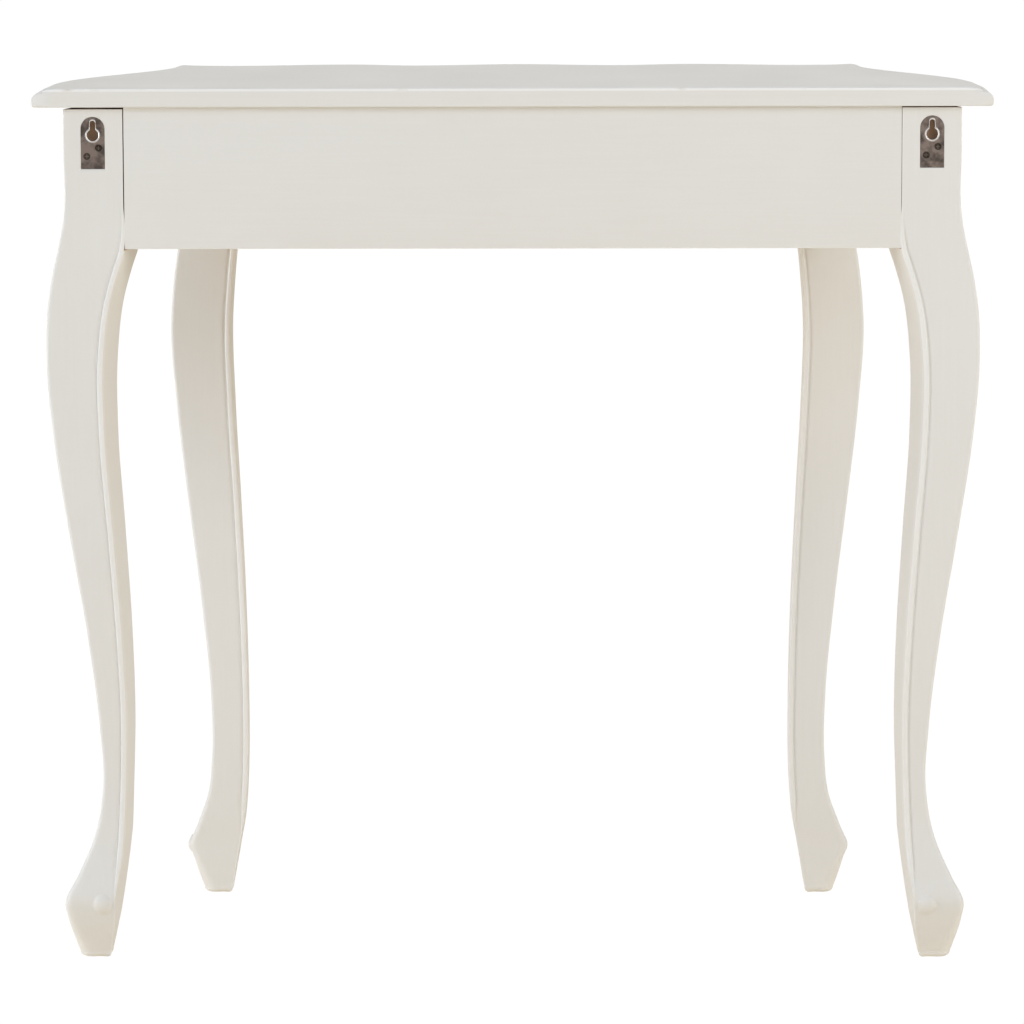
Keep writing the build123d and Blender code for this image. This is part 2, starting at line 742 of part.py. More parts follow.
def make_drawer_back(bay):
    """Drawer back, set between the sides above the bottom panel."""
    low, high = box_edges(bay)
    back_top = SIDE_LOW + DRAWER_SIDE_HIGH - 5.0
    back_low = PANEL_LOW + DRAWER_BOTTOM_THICK + GROOVE_PLAY
    width = high - low - 2 * DRAWER_SIDE_THICK
    with BuildPart() as back:
        with BuildSketch(Plane.XY.offset(back_low)):
            with Locations(((low + high) / 2, DRAWER_BACK_Y - DRAWER_SIDE_THICK)):
                Rectangle(width, DRAWER_SIDE_THICK)
        extrude(amount=back_top - back_low)
    return back.part


def make_drawer_bottom(bay):
    """Thin plywood panel in the grooves of the front and sides."""
    low, high = panel_edges(bay)
    front = DRAWER_FRONT_INNER_Y - DRAWER_GROOVE + GROOVE_PLAY
    with BuildPart() as panel:
        with BuildSketch(Plane.XY.offset(PANEL_LOW)):
            with Locations(((low + high) / 2, (front + DRAWER_BACK_Y) / 2)):
                Rectangle(high - low, DRAWER_BACK_Y - front)
        extrude(amount=DRAWER_BOTTOM_THICK)
    return panel.part


def make_knob(bay):
    """Turned knob: a foot, a waist and a mushroom head, with a threaded hole."""
    neck_r = 5.5
    thread_deep = 17.0
    plane = Plane(origin=(bay.knob_x, bay.seat_y, KNOB_Z), x_dir=(1, 0, 0), z_dir=(0, 0, 1))
    with BuildPart() as knob:
        with BuildSketch(plane):
            with BuildLine():
                Polyline((0, 0), (KNOB_SEAT_R, 0), (KNOB_SEAT_R, -2.0))
                Spline(
                    (KNOB_SEAT_R, -2.0),
                    (neck_r, -7.0),
                    (KNOB_R, -15.0),
                    tangents=((-1, -0.6), (0.5, -1)),
                )
                Spline((KNOB_R, -15.0), (KNOB_R - 3.5, -20.5), (0, -KNOB_LONG), tangents=((0, -1), (-1, 0)))
                Line((0, -KNOB_LONG), (0, 0))
            make_face()
        revolve(axis=Axis((bay.knob_x, bay.seat_y, KNOB_Z), (0, 1, 0)))
        with BuildSketch(plane_towards_front(bay, bay.seat_y)):
            Circle(SCREW_R + THREAD_FIT)
        extrude(amount=thread_deep, mode=Mode.SUBTRACT)
    return knob.part


def plane_towards_front(bay, y):
    """A plane on the knob's axis at depth y, its normal towards the front."""
    return Plane(origin=(bay.knob_x, y, KNOB_Z), x_dir=(1, 0, 0), z_dir=(0, -1, 0))


def make_knob_screw(bay):
    """Pan-head screw from inside the drawer into the knob."""
    inside = plane_towards_front(bay, DRAWER_FRONT_INNER_Y)
    with BuildPart() as screw:
        with BuildSketch(inside):
            Circle(KNOB_HEAD_R)
        extrude(amount=-KNOB_HEAD_THICK)
        fillet(screw.edges().sort_by(Axis.Y)[-1], 1.0)
        with BuildSketch(inside.offset(-KNOB_HEAD_THICK)):
            Rectangle(KNOB_HEAD_R * 1.1, KNOB_HEAD_R * 0.24)
            Rectangle(KNOB_HEAD_R * 0.24, KNOB_HEAD_R * 1.1)
        extrude(amount=1.2, mode=Mode.SUBTRACT)
        with BuildSketch(inside):
            Circle(SCREW_R)
        extrude(amount=KNOB_SCREW_LONG)
    return screw.part


def save_drawer(bay):
    """Write the seven pieces of one drawer."""
    low, high = box_edges(bay)
    save(make_drawer_front(bay), f"drawer_front_{bay.name}")
    save(make_drawer_side(bay, high - DRAWER_SIDE_THICK, high), f"drawer_side_{bay.name}_right")
    save(make_drawer_side(bay, low, low + DRAWER_SIDE_THICK), f"drawer_side_{bay.name}_left")
    save(make_drawer_back(bay), f"drawer_back_{bay.name}")
    save(make_drawer_bottom(bay), f"drawer_bottom_{bay.name}")
    save(make_knob(bay), f"knob_{bay.name}")
    save(make_knob_screw(bay), f"knob_screw_{bay.name}")


# ---- joints between the frame's pieces ------------------------------------------------

REAR_DOWELS = {
    s: [across(s * (REAR_POST_INNER - POST_GAP / 2), BACK_Y - APRON_THICK / 2, z, s) for z in DOWEL_HEIGHTS]
    for s in SIDES.values()
}
SIDE_REAR_DOWELS = {
    s: [along(s * SIDE_DOWEL_REAR_X, REAR_POST_FRONT, z) for z in DOWEL_HEIGHTS] for s in SIDES.values()
}
SIDE_FRONT_DOWELS = {
    s: [along(s * SIDE_DOWEL_FRONT_X, FRONT_POST_BACK, z) for z in DOWEL_HEIGHTS] for s in SIDES.values()
}
RAIL_DOWELS = {
    z: {s: across(s * FRONT_POST_INNER, RAIL_DOWEL_Y, z, s) for s in SIDES.values()}
    for z in RAIL_MIDS
}
DIVIDER_DOWELS = {
    z: {s: upright(s * DIVIDER_X, DIVIDER_DOWEL_Y, z) for s in SIDES.values()}
    for z in (TOP_RAIL_BOTTOM, BOTTOM_RAIL_TOP)
}
BEARER_DOWELS = {
    (kind, row, s, y): along(s * BEARER_DOWEL_X[row], y, BEARER_Z[kind], BEARER_DOWEL_LONG)
    for kind in BEARER_Z
    for row in BEARER_EDGES
    for s in SIDES.values()
    for y in BEARER_ENDS
}


def bearer_dowels(kind=None, row=None, s=None, y=None):
    """The bearers' dowels that match every given kind, row, side and end."""
    wanted = (kind, row, s, y)
    return [
        rod
        for key, rod in BEARER_DOWELS.items()
        if all(want is None or want == got for want, got in zip(wanted, key))
    ]


def side_name(s):
    """The name of side s."""
    return "right" if s > 0 else "left"


def main():
    """Make every piece of the table and write it to parts/."""
    top_z, bottom_z = RAIL_MIDS
    screws = [
        (s * TOP_SCREW_X[row], y) for row in TOP_SCREW_X for s in SIDES.values() for y in TOP_SCREW_Y
    ]
    save(make_top(screws), "top_panel")
    rear_rods = [rod for rods in REAR_DOWELS.values() for rod in rods]
    save(make_rear_apron(rear_rods + bearer_dowels(y=BEARER_ENDS[1])), "rear_apron")
    save(
        make_top_rail(
            list(RAIL_DOWELS[top_z].values())
            + list(DIVIDER_DOWELS[TOP_RAIL_BOTTOM].values())
            + bearer_dowels(kind="kicker", y=BEARER_ENDS[0])
        ),
        "front_rail_top",
    )
    save(
        make_bottom_rail(
            list(RAIL_DOWELS[bottom_z].values())
            + list(DIVIDER_DOWELS[BOTTOM_RAIL_TOP].values())
            + bearer_dowels(kind="runner", y=BEARER_ENDS[0])
        ),
        "front_rail_bottom",
    )
    for s in SIDES.values():
        side = side_name(s)
        save(make_rear_leg(s, REAR_DOWELS[s] + SIDE_REAR_DOWELS[s], bolt_rod(s)), f"leg_rear_{side}")
        front_rods = SIDE_FRONT_DOWELS[s] + [RAIL_DOWELS[z][s] for z in RAIL_MIDS]
        save(make_front_leg(s, front_rods), f"leg_front_{side}")
        save(make_side_apron(s, SIDE_REAR_DOWELS[s] + SIDE_FRONT_DOWELS[s]), f"side_apron_{side}")
        save(make_divider(s, [rods[s] for rods in DIVIDER_DOWELS.values()]), f"drawer_divider_{side}")
        save(make_corner_block(s), f"corner_block_{side}")
        save(make_hanger_plate(s), f"hanger_plate_{side}")
        for row, edges in BEARER_EDGES.items():
            span = [s * x for x in edges]
            guide = [s * x for x in GUIDE_EDGES[row]]
            places = [(s * TOP_SCREW_X[row], y) for y in TOP_SCREW_Y]
            save(make_runner(span, guide, bearer_dowels("runner", row, s)), f"runner_{row}_{side}")
            save(make_kicker(span, bearer_dowels("kicker", row, s), places), f"kicker_{row}_{side}")
    every_dowel = rear_rods + [rod for rods in SIDE_REAR_DOWELS.values() for rod in rods]
    every_dowel += [rod for rods in SIDE_FRONT_DOWELS.values() for rod in rods]
    every_dowel += [rod for pair in RAIL_DOWELS.values() for rod in pair.values()]
    every_dowel += [rod for pair in DIVIDER_DOWELS.values() for rod in pair.values()]
    every_dowel += bearer_dowels()
    save(make_dowels(every_dowel), "frame_dowels")
    save(make_top_screws(screws), "top_screws")
    save(make_hanger_bolts(), "hanger_bolts")
    save(make_bolt_washers(), "bolt_washers")
    save(make_bolt_nuts(), "bolt_nuts")
    save(make_plate_screws(), "plate_screws")
    for bay in BAYS:
        save_drawer(bay)


main()
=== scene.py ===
"""Looks of a painted dressing table with three drawers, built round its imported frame.

Every piece is worked out in millimetres in the frame's own axes (+Z up, drawers open
towards -Y, +X on the right of the sitter) and becomes a mesh in metres.
"""

import logging
from dataclasses import dataclass, field
from enum import Enum
from typing import Any, NamedTuple

import bmesh
import bpy
import numpy as np
from mathutils import Matrix, Vector


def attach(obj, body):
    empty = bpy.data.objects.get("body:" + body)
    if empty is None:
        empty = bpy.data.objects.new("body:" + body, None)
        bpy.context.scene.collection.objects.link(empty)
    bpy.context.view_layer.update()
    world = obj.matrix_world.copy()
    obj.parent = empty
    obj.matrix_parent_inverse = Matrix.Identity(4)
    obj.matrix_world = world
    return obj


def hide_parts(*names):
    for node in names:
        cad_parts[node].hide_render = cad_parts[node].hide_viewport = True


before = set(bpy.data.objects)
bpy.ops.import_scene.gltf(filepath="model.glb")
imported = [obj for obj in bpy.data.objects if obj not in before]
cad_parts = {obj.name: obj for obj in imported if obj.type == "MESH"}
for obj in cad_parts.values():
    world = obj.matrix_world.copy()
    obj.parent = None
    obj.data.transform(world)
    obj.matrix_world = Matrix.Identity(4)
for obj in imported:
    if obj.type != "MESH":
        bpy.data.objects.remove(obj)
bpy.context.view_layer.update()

log = logging.getLogger("dressing_table")

Array = np.ndarray
Colour = tuple[float, float, float, float]
MM = 0.001
EDGE_HIGHLIGHT_AND_WEAR = "arris"
BARE_AND_JOINT_SHADE = "raw"


# ---- named choices --------------------------------------------------------------------
class Side(Enum):
    """The two sides of the table, as the sign of X."""

    RIGHT = 1.0
    LEFT = -1.0

    @property
    def label(self) -> str:
        """The side's name as node names spell it."""
        return self.name.lower()


class Cap(Enum):
    """How the end row of a skin is closed."""

    FLAT = "flat"
    TIP = "tip"


class Along(Enum):
    """The axis that brush strokes or wood fibres run along, as a stretch of the pattern."""

    X = (0.035, 1.0, 1.0)
    Y = (1.0, 0.035, 1.0)
    Z = (1.0, 1.0, 0.035)


class Slot(Enum):
    """Material slots of the record."""

    PAINT = "painted_wood"
    BARE = "bare_wood"
    PLY = "plywood"
    BEECH = "beech"
    HANGER = "hanger_steel"
    SCREW = "plate_screw_steel"
    ZINC = "zinc_steel"
    KNOB = "knob_metal"


# ---- curves and skins -----------------------------------------------------------------
def ramp(value: Array, low: float, high: float) -> Array:
    """Smooth step from 0 at low to 1 at high: 3 t squared minus 2 t cubed."""
    t = np.clip((np.asarray(value, float) - low) / (high - low), 0.0, 1.0)
    return t * t * (3.0 - 2.0 * t)


def smooth_curve(at: Array, stations: Array, values: Array) -> Array:
    """Smooth curve through stations: cubic Hermite pieces with averaged slopes.

    Each station's slope is its two neighbouring chords' slopes, each weighted by the
    length of the other chord, so the curve bends evenly through unequal steps.

    Args:
        at: where to read the curve.
        stations: rising positions of the stations.
        values: the curve's values at the stations.

    Returns:
        The curve's values at the positions asked for.
    """
    steps = np.diff(stations)
    chords = np.diff(values) / steps
    inner = (chords[:-1] * steps[1:] + chords[1:] * steps[:-1]) / (steps[1:] + steps[:-1])
    slopes = np.concatenate([chords[:1], inner, chords[-1:]])
    i = np.clip(np.searchsorted(stations, at, side="right") - 1, 0, len(steps) - 1)
    h = steps[i]
    t = (at - stations[i]) / h
    rise = 3 * t**2 - 2 * t**3
    return (
        values[i] * (1 - rise)
        + values[i + 1] * rise
        + slopes[i] * h * (t**3 - 2 * t**2 + t)
        + slopes[i + 1] * h * (t**3 - t**2)
    )


def bezier(points: Array, count: int) -> Array:
    """Cubic Bezier curve: the four points weighted by the terms of (1 - t + t) cubed.

    Args:
        points: the four points in plan, shape (4, 2).
        count: how many points to return.

    Returns:
        Points along the curve, both ends included.
    """
    t = np.linspace(0.0, 1.0, count)[:, None]
    a, b, c, d = points
    return (1 - t) ** 3 * a + 3 * t * (1 - t) ** 2 * b + 3 * t**2 * (1 - t) * c + t**3 * d


def rounded_ring(
    corners: Array, radii: Array, edges: tuple[int, ...], weights: tuple[float, ...], arc: int = 7
) -> tuple[Array, Array]:
    """Closed rings with eased corners.

    Each corner becomes the quadratic Bezier curve between the points that lie its radius
    away along its two edges, and each edge between two eased corners is evenly divided.

    Args:
        corners: corner points of each ring, shape (rings, n, 2).
        radii: how far each corner is eased, shape (rings, n).
        edges: points on the edge that follows each corner.
        weights: how strongly each corner is marked for a painted highlight and tan wear.
        arc: points on each eased corner.

    Returns:
        The rings, shape (rings, points, 2), and a mask that holds a corner's weight in
        its middle and is 0 on the edges.
    """
    t = np.linspace(0.0, 1.0, arc)[:, None]

    def unit(step: Array) -> Array:
        """A step at length one."""
        return step / np.linalg.norm(step, axis=-1, keepdims=True)

    start = corners + unit(np.roll(corners, 1, axis=1) - corners) * radii[..., None]
    end = corners + unit(np.roll(corners, -1, axis=1) - corners) * radii[..., None]
    parts, masks = [], []
    for k, count in enumerate(edges):
        a, p, b = start[:, k, None], corners[:, k, None], end[:, k, None]
        u = (np.arange(1, count + 1) / (count + 1))[:, None]
        parts += [(1 - t) ** 2 * a + 2 * t * (1 - t) * p + t**2 * b]
        parts += [b * (1 - u) + start[:, (k + 1) % len(edges), None] * u]
        masks += [weights[k] * 4 * t[:, 0] * (1 - t[:, 0]), np.zeros(count)]
    ring = np.concatenate(parts, axis=1)
    return ring, np.broadcast_to(np.concatenate(masks), ring.shape[:2]).copy()


def mitred_normals(outline: Array) -> Array:
    """Outward normals of a closed counter-clockwise outline, lengthened at its corners.

    Each is the sum of the unit normals of the point's two edges, divided by one plus
    their dot product, so that an inset along it moves both edges by the same distance.

    Args:
        outline: points in plan, shape (n, 2).

    Returns:
        One outward vector for each point, shape (n, 2).
    """
    ahead = np.roll(outline, -1, axis=0) - outline
    turn = np.stack([ahead[:, 1], -ahead[:, 0]], axis=1)
    unit = turn / np.linalg.norm(turn, axis=1, keepdims=True)
    before = np.roll(unit, 1, axis=0)
    dot = np.sum(unit * before, axis=1, keepdims=True)
    return (unit + before) / (1.0 + np.maximum(dot, -0.5))


def eased_corner(before: Array, corner: Array, after: Array, radius: float) -> Array:
    """Five points of the quadratic Bezier curve that eases one corner of an outline.

    Args:
        before: a point on the edge that comes to the corner.
        corner: the sharp corner.
        after: a point on the edge that leaves it.
        radius: how far from the corner the curve starts and ends.

    Returns:
        The curve's points in plan, shape (5, 2).
    """
    ends = [
        corner + (p - corner) / np.linalg.norm(p - corner) * radius for p in (before, after)
    ]
    t = np.linspace(0.0, 1.0, 5)[:, None]
    return (1 - t) ** 2 * ends[0] + 2 * t * (1 - t) * corner + t**2 * ends[1]


def slab_rows(outline: Array, low: float, high: float, ease: float) -> tuple[Array, Array]:
    """Rows of an upright slab with eased lower and upper edges.

    The outline is pulled in along its mitred normals by a quarter circle at both ends.

    Args:
        outline: closed counter-clockwise outline in plan, shape (n, 2).
        low: height of the underside.
        high: height of the upper side.
        ease: radius of the eased edges.

    Returns:
        Rows of points, shape (rows, n, 3), and the mask of the eased edges.
    """
    a = np.linspace(0.0, np.pi / 2, 5)
    inset = ease * (1 - np.sin(a))
    lift = ease * (1 - np.cos(a))
    insets = np.concatenate([inset, inset[::-1]])
    heights = np.concatenate([low + lift, high - lift[::-1]])
    # mask of the painted highlight and tan wear, strongest midway round each eased edge
    highlight_and_wear = np.sin(2 * np.concatenate([a, a[::-1]]))
    plan = outline[None] - mitred_normals(outline)[None] * insets[:, None, None]
    level = np.broadcast_to(heights[:, None, None], plan.shape[:2] + (1,))
    mask = np.broadcast_to(highlight_and_wear[:, None], plan.shape[:2]).copy()
    return np.concatenate([plan, level], axis=-1), mask


def skin(
    name: str,
    rows: Array,
    masks: dict[str, Array],
    caps: tuple[Cap, Cap] | None = (Cap.FLAT, Cap.FLAT),
) -> bpy.types.Object:
    """Make a mesh object from rows of points, each row closed on itself.

    Square (r, c) joins points c and c + 1 of rows r and r + 1. With caps the first and
    last rows are closed by one flat face or by a fan to their middle; with none the last
    row is joined to the first, which closes the skin like a tube.

    Args:
        name: name of the piece.
        rows: points in millimetres, shape (rows, columns, 3); faces point outwards when
            the rows climb and the columns run counter-clockwise.
        masks: point values to keep as attributes, each of shape (rows, columns).
        caps: closure of the first and the last row.

    Returns:
        The new object, linked to the scene, with its place in its mesh.
    """
    count = rows.shape[0] * rows.shape[1]
    index = np.arange(count).reshape(rows.shape[:2])
    around = index if caps else np.vstack([index, index[:1]])
    low, high = around[:-1], around[1:]
    squares = np.stack([low, np.roll(low, -1, 1), np.roll(high, -1, 1), high], axis=-1)
    faces = squares.reshape(-1, 4).tolist()
    smooth = [True] * len(faces)
    points = rows.reshape(-1, 3) * MM
    values = {key: mask.reshape(-1) for key, mask in masks.items()}
    ends = ((index[0][::-1], rows[0]), (index[-1], rows[-1]))
    for cap, (rim, rim_points) in zip(caps or (), ends):
        if cap is Cap.FLAT:
            faces.append(rim.tolist())
            smooth.append(False)
            continue
        tip = len(points)
        points = np.vstack([points, rim_points.mean(axis=0) * MM])
        values = {key: np.append(v, v[rim].mean()) for key, v in values.items()}
        fan = np.stack([rim, np.roll(rim, -1), np.full(len(rim), tip)], axis=-1)
        faces.extend(fan.tolist())
        smooth.extend([True] * len(rim))
    mesh = bpy.data.meshes.new(name)
    mesh.from_pydata(points.tolist(), [], faces)
    mesh.polygons.foreach_set("use_smooth", smooth)
    for key, value in values.items():
        attribute = mesh.attributes.new(key, "FLOAT", "POINT")
        attribute.data.foreach_set("value", value.astype(np.float32))
    mesh.update()
    piece = bpy.data.objects.new(name, mesh)
    bpy.context.scene.collection.objects.link(piece)
    return piece


def turned(rows: Array, origin: tuple[float, float, float]) -> Array:
    """Turn rows that stand on the XY plane so that they rise towards -Y from origin."""
    x, y, z = np.moveaxis(rows, -1, 0)
    return np.stack([origin[0] + x, origin[1] - z, origin[2] + y], axis=-1)


def cut_away(piece: bpy.types.Object, cutters: list[bpy.types.Object]) -> None:
    """Cut the cutters' shapes out of a piece for good and delete the cutters.

    Args:
        piece: the piece to cut.
        cutters: closed shapes to take out of it.
    """
    for cutter in cutters:
        cut = piece.modifiers.new("cut", "BOOLEAN")
        cut.operation = "DIFFERENCE"
        cut.solver = "EXACT"
        cut.object = cutter
    graph = bpy.context.evaluated_depsgraph_get()
    mesh = bpy.data.meshes.new_from_object(piece.evaluated_get(graph))
    piece.modifiers.clear()
    mesh.name = piece.name
    piece.data = mesh
    for cutter in cutters:
        bpy.data.objects.remove(cutter)


# ---- shader graphs --------------------------------------------------------------------
class Graph:
    """Short way to add nodes to a shader tree and join them."""

    def __init__(self, tree: bpy.types.NodeTree) -> None:
        """Keep the tree that the nodes go into."""
        self.tree = tree

    def add(self, kind: str, inputs: dict[Any, Any], **settings: Any) -> bpy.types.Node:
        """Add one node.

        Args:
            kind: the node's type without its "ShaderNode" prefix.
            inputs: a value or another node's output for each named input socket.
            **settings: properties of the node itself.

        Returns:
            The new node.
        """
        node = self.tree.nodes.new("ShaderNode" + kind)
        for key, value in settings.items():
            setattr(node, key, value)
        for key, value in inputs.items():
            if isinstance(value, bpy.types.NodeSocket):
                self.tree.links.new(value, node.inputs[key])
            else:
                node.inputs[key].default_value = value
        return node

    def noise(self, vector: Any, scale: float, detail: float = 3.0) -> Any:
        """Output of a noise texture, from 0 to 1."""
        inputs = {"Vector": vector, "Scale": scale, "Detail": detail}
        return self.add("TexNoise", inputs).outputs["Fac"]

    def stretch(self, vector: Any, by: Any) -> Any:
        """A vector multiplied axis by axis."""
        node = self.add("VectorMath", {0: vector, 1: by}, operation="MULTIPLY")
        return node.outputs["Vector"]

    def math(self, operation: str, first: Any, second: Any = 0.0) -> Any:
        """Result of one math operation."""
        return self.add("Math", {0: first, 1: second}, operation=operation).outputs[0]

    def fit(self, value: Any, low: float, high: float, to_low: float, to_high: float) -> Any:
        """A value mapped from one range to another and held inside it."""
        ends = {"From Min": low, "From Max": high, "To Min": to_low, "To Max": to_high}
        return self.add("MapRange", {"Value": value, **ends}).outputs["Result"]

    def mix(self, share: Any, first: Any, second: Any) -> Any:
        """Mix two colours.

        Args:
            share: share of the second colour, from 0 to 1.
            first: a colour, or the socket that gives it.
            second: a colour, or the socket that gives it.

        Returns:
            The socket with the mixed colour.
        """
        node = self.add("Mix", {"Factor": share}, data_type="RGBA")
        for key, value in (("A_Color", first), ("B_Color", second)):
            socket = next(s for s in node.inputs if s.identifier == key)
            if isinstance(value, bpy.types.NodeSocket):
                self.tree.links.new(value, socket)
            else:
                socket.default_value = value
        return next(s for s in node.outputs if s.identifier == "Result_Color")

    def group(self, tree: bpy.types.NodeTree, inputs: dict[str, Any]) -> bpy.types.Node:
        """Place a shared effect in this graph."""
        return self.add("Group", inputs, node_tree=tree)


class Effect:
    """A shared shader effect: a node group built once and placed in many materials."""

    built: dict[str, bpy.types.NodeTree] = {}
    name: str = "effect"
    sockets: dict[str, tuple[str, str]] = {}

    @classmethod
    def tree(cls) -> bpy.types.NodeTree:
        """The effect's node group, built at its first use.

        Returns:
            The node group, shared by every material that places it.
        """
        if cls.name not in Effect.built:
            tree = bpy.data.node_groups.new(cls.name, "ShaderNodeTree")
            for label, (direction, kind) in cls.sockets.items():
                tree.interface.new_socket(label, in_out=direction, socket_type=kind)
            graph = Graph(tree)
            source = tree.nodes.new("NodeGroupInput").outputs
            sink = tree.nodes.new("NodeGroupOutput").inputs
            for label, socket in cls.wire(graph, source).items():
                tree.links.new(socket, sink[label])
            Effect.built[cls.name] = tree
        return Effect.built[cls.name]

    @classmethod
    def wire(cls, graph: Graph, source: Any) -> dict[str, Any]:
        """Fill the group.

        Args:
            graph: the group's graph.
            source: sockets of the group's inputs, by name.

        Returns:
            The socket that feeds each output, by the output's name.
        """
        raise NotImplementedError


FLOAT = "NodeSocketFloat"
VECTOR = "NodeSocketVector"


class Brushwork(Effect):
    """Faint brush strokes under a levelled film of paint, with fine orange peel."""

    name = "brushwork"
    sockets = {
        "Vector": ("INPUT", VECTOR),
        "Stretch": ("INPUT", VECTOR),
        "Strokes": ("OUTPUT", FLOAT),
        "Clouds": ("OUTPUT", FLOAT),
        "Height": ("OUTPUT", FLOAT),
    }

    @classmethod
    def wire(cls, graph: Graph, source: Any) -> dict[str, Any]:
        """Strokes are long stretched noise, clouds broad noise, height both with fine peel.

        Args:
            graph: the group's graph.
            source: sockets of the group's inputs, by name.

        Returns:
            The sockets that feed the group's outputs.
        """
        lined = graph.stretch(source["Vector"], source["Stretch"])
        strokes = graph.noise(lined, 420.0, 4.0)
        clouds = graph.noise(source["Vector"], 7.0, 3.0)
        peel = graph.noise(source["Vector"], 900.0, 1.0)
        height = graph.math("ADD", strokes, graph.math("MULTIPLY", peel, 0.35))
        return {"Strokes": strokes, "Clouds": clouds, "Height": height}


class ArrisWear(Effect):
    """Noisy mask along marked arrises: thinned finish on paint, wear and painted highlight on
    metal.
    """

    name = "arris_wear"
    sockets = {
        "Vector": ("INPUT", VECTOR),
        "Arris": ("INPUT", FLOAT),
        "Scale": ("INPUT", FLOAT),
        "Amount": ("INPUT", FLOAT),
        "Mask": ("OUTPUT", FLOAT),
    }

    @classmethod
    def wire(cls, graph: Graph, source: Any) -> dict[str, Any]:
        """The arris value times noise above a threshold that falls as the amount rises.

        Args:
            graph: the group's graph.
            source: sockets of the group's inputs, by name.

        Returns:
            The sockets that feed the group's outputs.
        """
        patches = graph.noise(source["Vector"], source["Scale"], 5.0)
        limit = graph.math("SUBTRACT", 0.74, source["Amount"])
        over = graph.math("MULTIPLY", graph.math("SUBTRACT", patches, limit), 9.0)
        held = graph.math("MINIMUM", graph.math("MAXIMUM", over), 1.0)
        return {"Mask": graph.math("MULTIPLY", held, source["Arris"])}


class WoodGrain(Effect):
    """Growth rings seen lengthways, with fine fibres."""

    name = "wood_grain"
    sockets = {
        "Vector": ("INPUT", VECTOR),
        "Stretch": ("INPUT", VECTOR),
        "Rings": ("INPUT", FLOAT),
        "Tone": ("OUTPUT", FLOAT),
        "Height": ("OUTPUT", FLOAT),
    }

    @classmethod
    def wire(cls, graph: Graph, source: Any) -> dict[str, Any]:
        """Bands of a stretched and bent coordinate, plus stretched fine noise for fibres.

        Args:
            graph: the group's graph.
            source: sockets of the group's inputs, by name.

        Returns:
            The sockets that feed the group's outputs.
        """
        lined = graph.stretch(source["Vector"], source["Stretch"])
        bent = graph.math("MULTIPLY", graph.noise(lined, source["Rings"], 2.0), 9.0)
        bands = graph.math("FRACT", bent)
        late = graph.math("POWER", bands, 3.0)
        fibres = graph.noise(lined, 900.0, 3.0)
        dark = graph.math("MULTIPLY", late, 0.65)
        tone = graph.math("ADD", dark, graph.math("MULTIPLY", fibres, 0.5))
        height = graph.math("ADD", fibres, graph.math("MULTIPLY", late, 0.4))
        return {"Tone": tone, "Height": height}


class Scuffs(Effect):
    """Slight uneven gloss from handling and cleaning."""

    name = "scuffs"
    sockets = {
        "Vector": ("INPUT", VECTOR),
        "Scale": ("INPUT", FLOAT),
        "Low": ("INPUT", FLOAT),
        "High": ("INPUT", FLOAT),
        "Roughness": ("OUTPUT", FLOAT),
    }

    @classmethod
    def wire(cls, graph: Graph, source: Any) -> dict[str, Any]:
        """Noise mapped to the range from low to high.

        Args:
            graph: the group's graph.
            source: sockets of the group's inputs, by name.

        Returns:
            The sockets that feed the group's outputs.
        """
        smear = graph.noise(source["Vector"], source["Scale"], 4.0)
        span = graph.math("SUBTRACT", source["High"], source["Low"])
        return {"Roughness": graph.math("ADD", source["Low"], graph.math("MULTIPLY", smear, span))}


# ---- finishes -------------------------------------------------------------------------
@dataclass(frozen=True)
class Finish:
    """A finish: its Blender name, the record's slot, and how its shader is built."""

    name: str
    slot: Slot

    def material(self) -> bpy.types.Material:
        """The finish as a material, built at its first use.

        Returns:
            The material, shared by every piece that has the finish.
        """
        found = bpy.data.materials.get(self.name)
        if found:
            return found
        made = bpy.data.materials.new(self.name)
        made.use_nodes = True
        made.node_tree.nodes.clear()
        graph = Graph(made.node_tree)
        shader = graph.add("BsdfPrincipled", {})
        graph.add("OutputMaterial", {"Surface": shader.outputs["BSDF"]})
        place = graph.add("TexCoord", {}).outputs["Object"]
        self.shade(graph, shader, place)
        return made

    def shade(self, graph: Graph, shader: bpy.types.Node, place: Any) -> None:
        """Join the finish's pattern to the shader.

        Args:
            graph: the material's graph.
            shader: its Principled shader.
            place: socket with the Object coordinates.
        """
        raise NotImplementedError

    @staticmethod
    def connect(
        graph: Graph, shader: bpy.types.Node, colour: Any, rough: Any, height: Any, depth: float
    ) -> None:
        """Feed a surface's values to its shader.

        Args:
            graph: the material's graph.
            shader: its Principled shader.
            colour: socket with the base colour.
            rough: socket with the roughness.
            height: socket with the relief, from 0 to 1.
            depth: depth of the relief in metres.
        """
        bump = graph.add("Bump", {"Height": height, "Distance": depth, "Strength": 1.0})
        feeds = {"Base Color": colour, "Roughness": rough, "Normal": bump.outputs["Normal"]}
        for key, value in feeds.items():
            graph.tree.links.new(value, shader.inputs[key])

    def dress(self, piece: bpy.types.Object) -> None:
        """Give a piece this finish all over.

        Args:
            piece: the piece, whose other materials are taken off.
        """
        piece.data.materials.clear()
        piece.data.materials.append(self.material())


